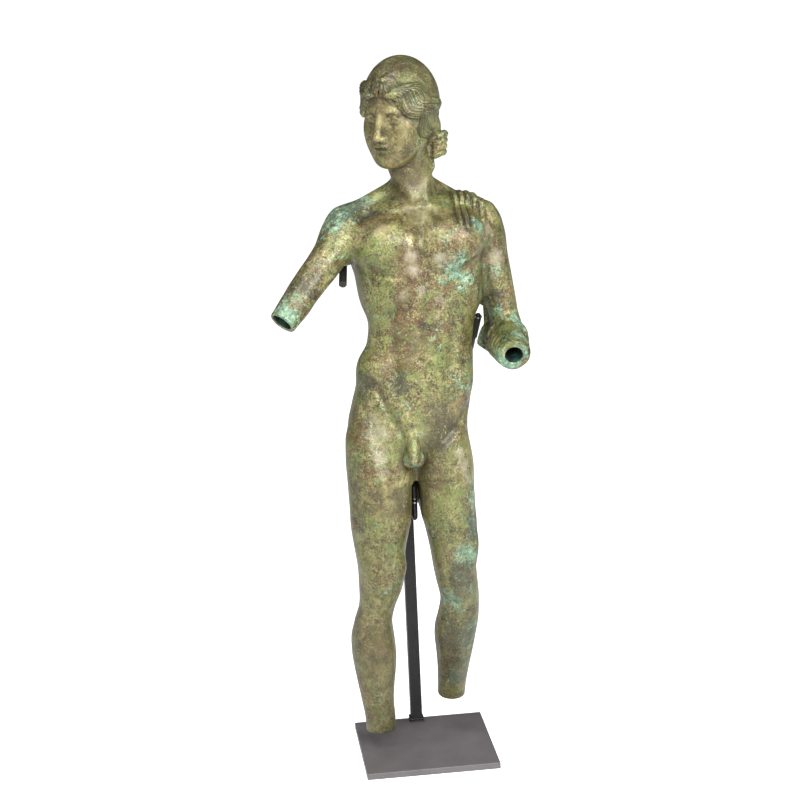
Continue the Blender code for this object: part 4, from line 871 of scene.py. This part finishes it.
def leg_carving(clay):
    """Knees, shins, calves and the long muscles of the thighs."""
    knee(clay, -45, -38, 221, 1)
    knee(clay, 44.5, -52, 231, -1)
    # shins, calves and the hollows behind the knees
    clay.groove([(-49, 192), (-52, 150), (-52, 100), (-50, 50)], 6, -2.5, 0.2)
    clay.groove([(45, 200), (44, 160), (42, 110), (38, 70)], 6, -2.5, 0.2)
    clay.groove([(-60, 190), (-66, 150), (-62, 105)], 6, 1.6, 0.3)
    clay.groove([(54, 195), (55, 160), (51, 112)], 6, 1.6, 0.3)
    clay.groove([(-50, 185), (-56, 160), (-58, 130), (-57, 112)], 6, 3.5, 0.3, back=True)
    clay.groove([(46, 190), (43, 160), (41, 130), (40, 112)], 6, 3.5, 0.3, back=True)
    for x, z in ((-49, 208), (46, 212)):
        y = clay.surface_y(x, z, True)
        clay.swell((x, y, z), (10, 8, 12), 4.5)
        clay.groove([(x - 15, z + 22), (x - 15, z), (x - 14, z - 14)], 5, -2.5, 0.3, back=True)
        clay.groove([(x + 15, z + 22), (x + 15, z), (x + 14, z - 14)], 5, -2.5, 0.3, back=True)
    # furrow down the back of each thigh, and the line of the long thigh muscle in front
    clay.groove([(-44, 340), (-46, 290), (-48, 240)], 8, 2.4, 0.3, back=True)
    clay.groove([(38, 340), (42, 290), (45, 240)], 8, 2.4, 0.3, back=True)
    clay.groove([(-52, 440), (-36, 380), (-22, 320), (-24, 270)], 9, 2.2, 0.3)
    clay.groove([(56, 420), (36, 370), (16, 320), (20, 275)], 9, 2.2, 0.3)
    clay.groove([(-72, 420), (-74, 350), (-70, 290), (-62, 250)], 8, 1.8, 0.3)
    clay.groove([(66, 410), (70, 350), (66, 290), (60, 255)], 8, 1.8, 0.3)


class Frame:
    """A place and a turn, for parts that are made upright and then set at an angle."""

    def __init__(self, place, turn):
        self.place, self.turn = np.array(place, float), turn

    def __call__(self, p):
        return self.place + self.turn @ np.asarray(p, float)

    def path(self, points):
        return self.place + np.asarray(points, float) @ self.turn.T


# the head looks to its own right, bowed a little
HEAD = Frame((4, -3, 722.6), turned((0, 2.3, 0)) @ turned((0, 0, -40)) @ turned((7, 0, 0)))


def on_head(angle, z, lift=0.0):
    """A point on the hair's ground surface: angle 0 is the face, 90 the figure's left ear."""
    a = np.radians(angle)
    level = max(z, 52.0)
    r = np.sqrt(max(1 - ((level - 71) / 41.5) ** 2, 0.02))
    rx, ry = 36.5 * r + lift, 43.0 * r + lift
    shrink = 1 - 0.010 * max(52 - z, 0)
    return np.array((rx * shrink * np.sin(a), 4 - ry * shrink * np.cos(a), z))


def head(clay):
    """Head coordinates: mm, chin at z 0 and crown at 114, face towards -y."""
    h = HEAD
    # skull and face
    clay.add(ball((0, 3, 71), (35.5, 42, 40), frame=h), 6)
    clay.add(ball((0, -9, 60), (32.5, 33.5, 40), frame=h), 8)
    clay.add(ball((0, -16, 36), (27, 26, 31), frame=h), 10)
    clay.add(ball((0, -30, 13), (13.5, 13, 12), frame=h), 10)
    for s in (-1, 1):
        clay.add(rod(h((24 * s, 0, 30)), h((8 * s, -28, 9)), 10, 9), 12)
        clay.add(ball((18.0 * s, -26, 43), (12, 10, 13), frame=h), 12)
        clay.add(ball((14.5 * s, -25, 28), (13, 12, 16), frame=h), 12)
    # eye hollows, nose and brows
    for s in (-1, 1):
        clay.cut(ball((14.5 * s, -49, 55.5), (9.5, 11.5, 6.5), (0, 5 * s, 0), frame=h), 7)
    clay.add(rod(h((0, -41.5, 64)), h((0, -50.0, 37.5)), 3.9, 4.3), 5)
    clay.add(ball((0, -50, 36), (4.6, 5.4, 4.2), frame=h), 3)
    for s in (-1, 1):
        clay.add(ball((5.2 * s, -45.5, 34.5), (3.3, 5, 3.6), frame=h), 3)
        clay.cut(ball((2.6 * s, -49.5, 31.2), (1.7, 2.6, 1.8), frame=h), 1)
        clay.crease(h.path([(3 * s, -42.6, 63.0), (9 * s, -42.2, 65.6), (17 * s, -38.8, 65.2),
                            (24 * s, -32, 61)]), 3.0, -1.5, 0.25)
        clay.add(ball((14.2 * s, -33.4, 55.8), (8.2, 7.0, 6.4), frame=h), 1.2)
        over = [(6.8 * s, -38.6, 54.8), (10 * s, -40.9, 58.2), (14.2 * s, -41.5, 59.5),
                (18.6 * s, -39.6, 58.3), (22.4 * s, -35.4, 54.9)]
        under = [(7.2 * s, -38.6, 54.2), (10.6 * s, -40.1, 52.4), (14.4 * s, -40.4, 51.7),
                 (18.6 * s, -38.6, 52.5), (22 * s, -35.4, 54.6)]
        between = [(8 * s, -39.4, 55.2), (11 * s, -41.2, 55.5), (14.3 * s, -41.6, 55.6),
                   (18 * s, -39.8, 55.5), (21.5 * s, -36.4, 55.0)]
        clay.crease(h.path(smooth_path(between, 1.5)), 2.3, 0.9, 0.2)
        clay.crease(h.path(smooth_path(over, 1.5)), 1.2, -1.5, 0.1)
        clay.crease(h.path(smooth_path(under, 1.5)), 1.1, -0.9, 0.1)
        clay.crease(h.path(smooth_path(np.array(over) + (0, 1.2, 2.6), 1.5)), 1.3, 0.9, 0.15)
        clay.cut(ball((14.0 * s, -40.6, 56.0), (1.5, 1.6, 1.5), frame=h), 0.6)
    # mouth and chin
    clay.add(ball((0, -37, 23), (13, 8, 9), frame=h), 8)
    clay.add(ball((0, -43.6, 26.0), (9.0, 3.6, 3.0), frame=h), 2)
    clay.add(ball((0, -42.8, 20.2), (7.8, 3.9, 3.3), frame=h), 2)
    clay.crease(h.path([(-10, -41, 23.6), (-5, -45.0, 23.2), (0, -46.4, 23.5), (5, -45.0, 23.2),
                        (10, -41, 23.6)]), 1.2, 2.0, 0.15)
    clay.swell(h((0, -42, 15.5)), (9, 5, 3.2), 1.8)
    clay.add(ball((0, -36.5, 7.5), (8.5, 7, 6.5), frame=h), 6)
    hair(clay)


def hair(clay):
    """Hair, cap and knot, in head coordinates."""
    h = HEAD
    # ground of the hair round the sides and back
    clay.add(ball((0, 5, 65), (36.5, 41.5, 40), frame=h), 5)
    clay.add(ball((0, 22, 42), (29, 26, 30), frame=h), 8)
    for s in (1, -1):
        clay.add(ball((30 * s, 0, 58), (9, 18, 20), frame=h), 6)
    # cap: a close shell that ends in a rim, higher over the brow and lower at the nape
    low, high, cap = ball((0, 3, 66), (42.6, 48, 54), frame=h)
    rim, lean = h((0, -40, 99)), h.turn @ np.array((0.10, 0.42, 0.902))

    def above_rim(x, y, z):
        under = (rim[0] - x) * lean[0] + (rim[1] - y) * lean[1] + (rim[2] - z) * lean[2]
        return np.maximum(cap(x, y, z), 1.2 * under)
    clay.add((low, high, above_rim), 1.5)
    # low stubs where something once rose from the cap
    clay.add(rod(h(on_head(5, 98, 5)), h(on_head(32, 106, 5)), 4.6, 3.6), 2)
    clay.crease(h.path([on_head(40, 109, 4.6), on_head(58, 106, 4.4), on_head(74, 98, 4),
                        on_head(84, 88, 3.6)]), 1.8, -1.8, 0.05)
    clay.add(rod(h(on_head(-34, 98, 3)), h(on_head(-52, 105, 3)), 4.2, 3.4), 3)
    # waves that sweep from the brow over the temple and ear to the nape, between the cap's rim
    # and the hairline, one beside the other
    rim_line = np.array([(4, 99), (45, 91), (88, 72), (120, 48), (136, 26)], float)
    face_line = np.array([(8, 90), (34, 79), (58, 60), (76, 38), (100, 10)], float)
    for side, rows in ((1, 6), (-1, 5)):
        for row in range(rows):
            share = row / (rows - 1)
            flow = smooth_path(rim_line * (1 - share) + face_line * share, 4)
            wave = []
            for i, (a, z) in enumerate(flow):
                t = i / (len(flow) - 1)
                swing = 20 * t + 0.7 * row
                wave.append((side * (a + 3.5 * math.sin(swing)), z + 3.0 * math.sin(swing),
                             3.6 + 1.2 * math.sin(math.pi * t) + 1.9 * math.sin(swing + 1.6)))
            tress(clay, wave, 5.6, 3)
    # short locks on the brow
    for side in (1, -1):
        for i in range(5):
            a, z, bend = 3 + 7.6 * i, 92 - 1.2 * i - 0.5 * i * i, 1 if i % 2 else -1
            tress(clay, [(side * (a - 2), z + 5, 3.2), (side * (a + 1), z, 4.6),
                         (side * (a + 5 + bend), z - 5, 4.4), (side * (a + 4 + 2 * bend), z - 9, 3.0),
                         (side * (a + 1), z - 10.5, 1.8)], 3.3, 2)
    # the back: long waved locks from under the cap to the neck
    for i in range(9):
        a = 116 + 16 * i
        tress(clay, [(a - 3, 60, 1), (a + 4, 53, 3.6), (a - 3, 44, 4.6), (a + 4, 35, 5.2),
                     (a - 2, 27, 5.6), (a + 3, 20, 3)], 5.0, 3)
    # the knot behind the left ear: four rolls one under the other, and one loose lock below
    clay.add(ball((23, 24, 32), (12, 13, 17), frame=h), 5)
    clay.add(ball((22, 22, 8), (6, 7, 13), frame=h), 4)
    clay.add(rod(h(on_head(66, 66, 2)), h(on_head(118, 38, 4)), 8, 10), 4)
    for i in range(4):
        c = np.array((28.8 - 0.5 * i, 28.5, 25.5 - 7.0 * i))
        roll = [c + (9.4 * np.cos(t) * (1 - 0.09 * i), 8.2 * np.sin(t), 1.6 * np.cos(2 * t))
                for t in np.linspace(-2.2, 2.0, 10)]
        for shape in tapered(HEAD.path(roll), (2.4, 3.9, 4.2, 3.9, 2.4)):
            clay.add(shape, 1.2)
        for up in (-1.4, 1.4):
            clay.crease(HEAD.path([p + (2.6 * (p[0] - c[0]) / 8, 2.6 * (p[1] - c[1]) / 8, up)
                                   for p in roll]), 0.8, 1.0, 0.2)
    for shape in tapered(smooth_path(HEAD.path([(23, 22, 4), (21, 23, -4), (23.5, 22, -11),
                                                (21, 21, -18)]), 2.5), (4.6, 4.2, 3.4, 1.6)):
        clay.add(shape, 1.5)


def tress(clay, points, size, strands):
    """A lock laid on the head through (angle, z, lift) points, with fine grooves along it."""
    flat = np.array([on_head(*p) for p in points])
    path = smooth_path(HEAD.path(flat), 2.4)
    widths = (0.55 * size, 0.9 * size, size, size, 0.95 * size, 0.8 * size, 0.35 * size)
    for shape in tapered(path, widths):
        clay.add(shape, 1.2)
    centre = HEAD.path([(0, 4, 66)])[0]
    along = np.gradient(path, axis=0)
    out = path - centre
    out /= np.linalg.norm(out, axis=1)[:, None]
    across = np.cross(along, out)
    across /= np.maximum(np.linalg.norm(across, axis=1), 1e-6)[:, None]
    for i in range(strands):
        s = (2 * i + 1) / strands - 1
        line = path + size * 0.92 * (s * 0.8 * across + math.sqrt(1 - 0.6 * s * s) * out)
        clay.crease(line, 0.8 + 0.05 * size, 1.7, 0.1)


def make(cell):
    """The whole figure, in the order a modeller builds it: masses, cloth, carving, breaks, head."""
    clay = Clay((-175, -110, 5), (150, 100, 850), cell)
    torso(clay)
    legs(clay)
    shoulders(clay)
    neck(clay)
    arms(clay)
    clay.soften(1.8)
    cloak(clay)
    front_carving(clay)
    loins(clay)
    back_carving(clay)
    leg_carving(clay)
    clay.soften(1.4)
    breaks(clay)
    head(clay)
    return clay


# Cast bronze with an old patina: a brown oxide skin gone olive, with yellow-green chlorides in a
# fine speckle, blue-green crusts where it lay wet, rusty brown stains and dark pits. Where it was
# handled or cleaned the metal shows through paler and glossier, with painted highlights laid on those
# pale patches. Painted shade darkens the hollows, under the chin, the groin and the inside of the breaks.
# Mottles run from 25 mm down to 2 mm.
def old_bronze():
    made, tree, skin, place = new_material("patinated_cast_bronze")

    def noise(scale, detail, rough, shift=0.0, warp=0.0):
        spot = node(tree, "ShaderNodeVectorMath", {"operation": "ADD"}, in0=place,
                    in1=(shift, shift * 0.7, -shift)).outputs[0]
        return node(tree, "ShaderNodeTexNoise", Vector=spot, Scale=scale, Detail=detail,
                    Roughness=rough, Distortion=warp).outputs["Fac"]

    def patch(name):
        return node(tree, "ShaderNodeAttribute", {"attribute_name": name}).outputs["Fac"]

    def add(a, b, mode="ADD", limit=True):
        m = node(tree, "ShaderNodeMath", {"operation": mode, "use_clamp": limit}, in0=a, in1=b)
        return m.outputs[0]

    def mixed(*parts):
        total = None
        for amount, part in parts:
            share = add(part, amount, "MULTIPLY")
            total = share if total is None else add(total, share)
        return total

    def coat(under, tone, at, first, last, most):
        cover = ramp(tree, at, (first, 0.0), (last, most))
        return blend(tree, cover, under, tone), cover

    broad, middle, grain = noise(15, 5, 0.6), noise(60, 7, 0.72, 0.31, 0.4), noise(400, 3, 0.65, 0.77)
    mix = mixed((0.22, broad), (0.42, middle), (0.36, grain))
    base = ramp(tree, mix, (0.42, "#2b2413"), (0.462, "#4a4126"), (0.50, "#645b37"), (0.54, "#7e764a"),
                (0.60, "#9f976a"))
    # yellow-green bloom in drifts of small grains
    at = mixed((0.38, noise(24, 6, 0.66, 1.3, 0.4)), (0.30, noise(110, 5, 0.7, 1.9)),
               (0.32, noise(460, 3, 0.6, 2.1)))
    base = coat(base, "#6f7f41", at, 0.49, 0.53, 0.62)[0]
    # rusty stains
    at = mixed((0.42, noise(28, 6, 0.7, 3.7, 0.5)), (0.28, noise(130, 5, 0.7, 4.4)),
               (0.24, noise(430, 3, 0.6, 4.9)), (0.06, patch("russet")))
    base = coat(base, "#5f3f28", at, 0.485, 0.525, 0.66)[0]
    # blue-green crust
    at = mixed((0.38, noise(26, 7, 0.72, 7.9, 0.7)), (0.26, noise(120, 5, 0.7, 8.3)),
               (0.26, noise(420, 3, 0.6, 8.8)), (0.13, patch("verdigris")))
    green = ramp(tree, noise(170, 4, 0.7, 9.3), (0.38, "#41665a"), (0.5, "#648f78"), (0.64, "#9ab89a"))
    base, crust = coat(base, green, at, 0.488, 0.54, 0.80)
    # smoky near-black crust in flecks
    at = mixed((0.40, noise(70, 6, 0.74, 21.0, 0.5)), (0.38, noise(330, 4, 0.7, 21.7)),
               (0.16, patch("smoky")))
    base = coat(base, "#2b2d25", at, 0.435, 0.48, 0.75)[0]
    # ochre, smoother skin on the face, neck and upper chest
    at = mixed((0.40, noise(40, 5, 0.7, 15.0, 0.5)), (0.12, noise(300, 3, 0.7, 15.9)),
               (0.42, patch("ochre")))
    base = coat(base, ramp(tree, middle, (0.4, "#4b4127"), (0.6, "#81764b")), at, 0.36, 0.52, 0.72)[0]
    # a brown film on the cap and the left knee; the same film laid under the chin, in the groin and
    # between the thighs is painted shade
    at = mixed((0.34, noise(30, 5, 0.7, 25.0, 0.4)), (0.50, patch("umber_and_shade")))
    base = coat(base, "#3d3522", at, 0.24, 0.50, 0.62)[0]
    # pale yellow and dark grains, 1 to 3 mm
    at = mixed((0.45, noise(80, 5, 0.7, 11.5)), (0.55, noise(520, 2, 0.6, 11.0)))
    base = coat(base, "#b3ac72", at, 0.55, 0.60, 0.42)[0]
    at = mixed((0.35, noise(90, 5, 0.6, 14.0)), (0.65, noise(380, 3, 0.65, 13.0)))
    base, dark = coat(base, "#2a2412", at, 0.54, 0.60, 0.6)
    # paler grey-white skin where it was handled or cleaned, smoother there, with painted highlights laid
    # on the same patches
    at = mixed((0.50, noise(34, 6, 0.72, 5.1, 0.8)), (0.24, noise(200, 4, 0.7, 5.9)),
               (0.27, patch("worn_and_highlight")))
    base = coat(base, "#a9a28a", at, 0.46, 0.63, 0.68)[0]
    # browner and darker down the shins
    height = node(tree, "ShaderNodeSeparateXYZ", in0=place).outputs["Z"]
    base = blend(tree, add(0.5, ramp(tree, height, (0.12, 0.0), (0.46, 0.5)), "SUBTRACT"), base,
                 "#453f29")
    # painted shade in the hollows and creases of the carving
    base = blend(tree, add(patch("crease_shade"), 0.8, "MULTIPLY"), base, "#2f2b18")
    # the inside of the casting at the breaks: its own blue-green crust, darkened to near black as painted
    # shade in the hollow
    base = blend(tree, patch("inside"), base,
                 ramp(tree, noise(120, 4, 0.7, 17.0), (0.45, "#0b1512"), (0.68, "#2c6152")))
    tree.links.new(base, skin.inputs["Base Color"])

    shine = add(add(patch("worn_and_highlight"), 0.28, "MULTIPLY"), add(crust, 0.10, "MULTIPLY"), "SUBTRACT", False)
    rough = add(ramp(tree, mix, (0.38, 0.36), (0.66, 0.50)), shine, "SUBTRACT")
    rough = add(rough, add(patch("inside"), 0.25, "MULTIPLY"))
    tree.links.new(rough, skin.inputs["Roughness"])
    metal = add(add(0.34, add(crust, 0.5, "MULTIPLY"), "SUBTRACT"),
                add(patch("inside"), 0.4, "MULTIPLY"), "SUBTRACT")
    tree.links.new(metal, skin.inputs["Metallic"])

    # a wax rubbed over the whole skin, worn thin on the crusts
    wax = add(0.24, add(crust, 0.4, "MULTIPLY"), "SUBTRACT")
    tree.links.new(add(wax, add(patch("inside"), 0.5, "MULTIPLY"), "SUBTRACT"),
                   skin.inputs["Coat Weight"])
    tree.links.new(ramp(tree, middle, (0.38, 0.22), (0.62, 0.44)), skin.inputs["Coat Roughness"])

    low = node(tree, "ShaderNodeBump", Height=middle, Strength=0.35, Distance=0.0012)
    pits = node(tree, "ShaderNodeBump", {"invert": True}, Height=dark, Strength=0.45, Distance=0.0006,
                Normal=low.outputs["Normal"])
    scale = node(tree, "ShaderNodeBump", Height=crust, Strength=0.4, Distance=0.0007,
                 Normal=pits.outputs["Normal"])
    tree.links.new(scale.outputs["Normal"], skin.inputs["Normal"])
    return made


def spots(points, places):
    """How strongly each point lies in soft round patches given as (x, y, z, radius) in figure units."""
    out = np.zeros(len(points))
    for x, y, z, r in places:
        out = np.maximum(out, np.exp(-((points - (x, y, z)) ** 2).sum(1) / (r * r)))
    return out


def reading(field, at):
    """The clay's distance field at fractional grid places."""
    at = np.clip(at, 0, np.array(field.shape) - 1.001)
    whole = at.astype(int)
    part = at - whole
    out = np.zeros(len(at))
    for i in (0, 1):
        for j in (0, 1):
            for k in (0, 1):
                share = abs(1 - i - part[:, 0]) * abs(1 - j - part[:, 1]) * abs(1 - k - part[:, 2])
                out += share * field[whole[:, 0] + i, whole[:, 1] + j, whole[:, 2] + k]
    return out


def hollowness(clay, points, reach):
    """1 at the bottom of a groove as narrow as the reach, 0 on flat ground."""
    at = (points - clay.low) / clay.cell
    step = reach / clay.cell
    bend, slope = -6 * reading(clay.field, at), np.zeros(len(at))
    for axis in np.eye(3):
        one, two = reading(clay.field, at + axis * step), reading(clay.field, at - axis * step)
        bend, slope = bend + one + two, slope + (one - two) ** 2
    return np.clip(-bend / np.maximum(np.sqrt(slope) / 2, 0.2 * reach), 0, 1)


clay = make(CELL)
grid = openvdb.FloatGrid(FAR)
grid.copyFromArray(clay.field)
points, _, quads = grid.convertToPolygons(0.0, 0.0)
points = (np.asarray(points, float) * clay.cell + clay.low) * UNIT
del grid
mesh = bpy.data.meshes.new("bronze_figure")
quads = np.asarray(quads)[:, ::-1].astype(np.int32)
mesh.vertices.add(len(points))
mesh.vertices.foreach_set("co", points.astype(np.float32).ravel())
mesh.loops.add(quads.size)
mesh.loops.foreach_set("vertex_index", quads.ravel())
mesh.polygons.add(len(quads))
mesh.polygons.foreach_set("loop_start", np.arange(0, quads.size, 4, dtype=np.int32))
mesh.update(calc_edges=True)
figure = bpy.data.objects.new("bronze_figure", mesh)
bpy.context.collection.objects.link(figure)

# thinned evenly down to the faces it may have
thin = figure.modifiers.new("fewer faces", "DECIMATE")
thin.ratio = FACES / (2.0 * len(quads))
bpy.context.view_layer.update()
fine = bpy.data.meshes.new_from_object(figure.evaluated_get(bpy.context.evaluated_depsgraph_get()))
figure.modifiers.remove(thin)
figure.data = fine
bpy.data.meshes.remove(mesh)
fine.name = "bronze_figure"

# loose crumbs are dropped: only the largest connected body stays
bm = bmesh.new()
bm.from_mesh(fine)
left, bodies = set(bm.verts), []
while left:
    seed = left.pop()
    group, front = {seed}, [seed]
    while front:
        near = {e.other_vert(v) for v in front for e in v.link_edges}
        front = [v for v in near if v in left]
        left.difference_update(front)
        group.update(front)
    bodies.append(group)
bodies.sort(key=len)
bmesh.ops.delete(bm, geom=[v for g in bodies[:-1] for v in g], context="VERTS")
bmesh.ops.recalc_face_normals(bm, faces=bm.faces)
bm.to_mesh(fine)
bm.free()
fine.shade_smooth()

# soft patches and hollows are stored on the points, for the bronze's material to read: patina, painted
# highlights on the pale patches, and painted shade in the hollows, under the chin, between the thighs and
# inside the breaks
count = len(fine.vertices)
place = np.empty(count * 3, np.float32)
fine.vertices.foreach_get("co", place)
place = place.reshape(-1, 3).astype(float) / UNIT
hollow = np.zeros(count)
for centre, outward, deep, inner, rim in BREAKS:
    c, n = np.array(centre, float), np.array(outward, float)
    n /= np.linalg.norm(n)
    back = (c - place) @ n
    off = np.linalg.norm(place - c + back[:, None] * n, axis=1)
    within = (back > 0.8) & (back < deep + 20) & (off < inner - WALL / UNIT + 1.2)
    hollow = np.maximum(hollow, within)

patches = {
    "verdigris": spots(place, VERDIGRIS),
    "russet": spots(place, RUSSET),
    # pale worn skin, with painted highlights on it
    "worn_and_highlight": spots(place, WORN_AND_HIGHLIGHT_SPOTS),
    "smoky": spots(place, SMOKY),
    "ochre": spots(place, OCHRE),
    # brown film, and painted shade under the chin and between the thighs
    "umber_and_shade": spots(place, UMBER_AND_SHADE_SPOTS),
    # painted shade, deepest at the bottom of narrow grooves
    "crease_shade": np.maximum(hollowness(clay, place, 1.4), 0.7 * hollowness(clay, place, 3.5)),
    # the insides of the breaks, where the crust is darkened as painted shade
    "inside": hollow,
}
for name, values in patches.items():
    layer = fine.attributes.new(name, "FLOAT", "POINT")
    layer.data.foreach_set("value", values.astype(np.float32))

fine.materials.append(old_bronze())
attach(figure, "root")
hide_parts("figure")


# What it stands on for the picture: a seamless pale floor, soft light from above and in front,
# and a long lens a little above the crown, set over towards the figure's right.

floor_mesh = bpy.data.meshes.new("floor")
floor_mesh.from_pydata([(-40, -40, 0), (40, -40, 0), (40, 40, 0), (-40, 40, 0)], [], [(0, 1, 2, 3)])
floor = bpy.data.objects.new("floor", floor_mesh)
bpy.context.collection.objects.link(floor)
paper, tree, skin, spot = new_material("white_paper")
skin.inputs["Base Color"].default_value = linear("#f6f6f6")
skin.inputs["Emission Color"].default_value = (1, 1, 1, 1)
ray = node(tree, "ShaderNodeLightPath").outputs["Is Camera Ray"]
glow = node(tree, "ShaderNodeMath", {"operation": "MULTIPLY"}, in0=ray, in1=0.7)
tree.links.new(glow.outputs[0], skin.inputs["Emission Strength"])
skin.inputs["Roughness"].default_value = 0.9
skin.inputs["Specular IOR Level"].default_value = 0.1
floor_mesh.materials.append(paper)

world = bpy.data.worlds.new("studio")
bpy.context.scene.world = world
world.use_nodes = True
sky = world.node_tree
sky.nodes["Background"].inputs["Color"].default_value = (1, 1, 1, 1)
# white to the lens; to the bronze, bright in front and dim behind, so its edges turn dark
axes = node(sky, "ShaderNodeSeparateXYZ", in0=node(sky, "ShaderNodeTexCoord").outputs["Generated"])
dim = ramp(sky, axes.outputs["Y"], (0.0, 0.50), (0.30, 0.42), (0.70, 0.10))
ray = node(sky, "ShaderNodeLightPath").outputs["Is Camera Ray"]
seen = node(sky, "ShaderNodeMath", {"operation": "MAXIMUM"}, in0=dim, in1=ray)
sky.links.new(seen.outputs[0], sky.nodes["Background"].inputs["Strength"])


def lamp(name, place, aim, size, power):
    """A soft box in metres and watts, turned to face its aim."""
    light = bpy.data.lights.new(name, "AREA")
    light.shape, light.size, light.size_y = "RECTANGLE", size[0], size[1]
    light.energy = power
    made = bpy.data.objects.new(name, light)
    bpy.context.collection.objects.link(made)
    made.location = place
    made.rotation_euler = (Vector(aim) - Vector(place)).to_track_quat("-Z", "Y").to_euler()


lamp("front_box", (0.05, -2.7, 1.8), (0, 0, 0.6), (1.6, 1.1), 77)
lamp("top_box", (-0.5, -0.8, 2.1), (0, 0, 0.6), (0.8, 0.8), 17)
lamp("left_box", (-2.2, -0.9, 1.3), (0, 0, 0.5), (0.5, 1.6), 10)
lamp("right_box", (1.5, -1.6, 1.6), (0.1, 0, 0.6), (0.7, 1.2), 56)

# the photograph is 800 px wide; its lens was worked out from the plate and the post
PICTURE_PX, FOCAL_PX, FILM = 800, 2037.35, 36.0
lens = bpy.data.cameras.new("camera")
lens.sensor_width = FILM
lens.lens = FILM * FOCAL_PX / PICTURE_PX
lens.clip_start, lens.clip_end = 0.05, 200
eye = bpy.data.objects.new("camera", lens)
bpy.context.collection.objects.link(eye)
azimuth, pitch, roll = math.radians(-6.01), math.radians(13.78), math.radians(-2.616)
ahead = Vector((-math.sin(azimuth) * math.cos(pitch), math.cos(azimuth) * math.cos(pitch),
                -math.sin(pitch)))
side = Vector((math.cos(azimuth), math.sin(azimuth), 0))
above = side.cross(ahead)
across = side * math.cos(roll) + above * math.sin(roll)
upward = above * math.cos(roll) - side * math.sin(roll)
turn = eye.matrix_world.to_3x3()
for row in range(3):
    turn[row][0], turn[row][1], turn[row][2] = across[row], upward[row], -ahead[row]
eye.matrix_world = turn.to_4x4()
eye.location = (-0.2561, -2.3134, 1.0117)
bpy.context.scene.camera = eye
bpy.context.scene.view_settings.view_transform = "Standard"
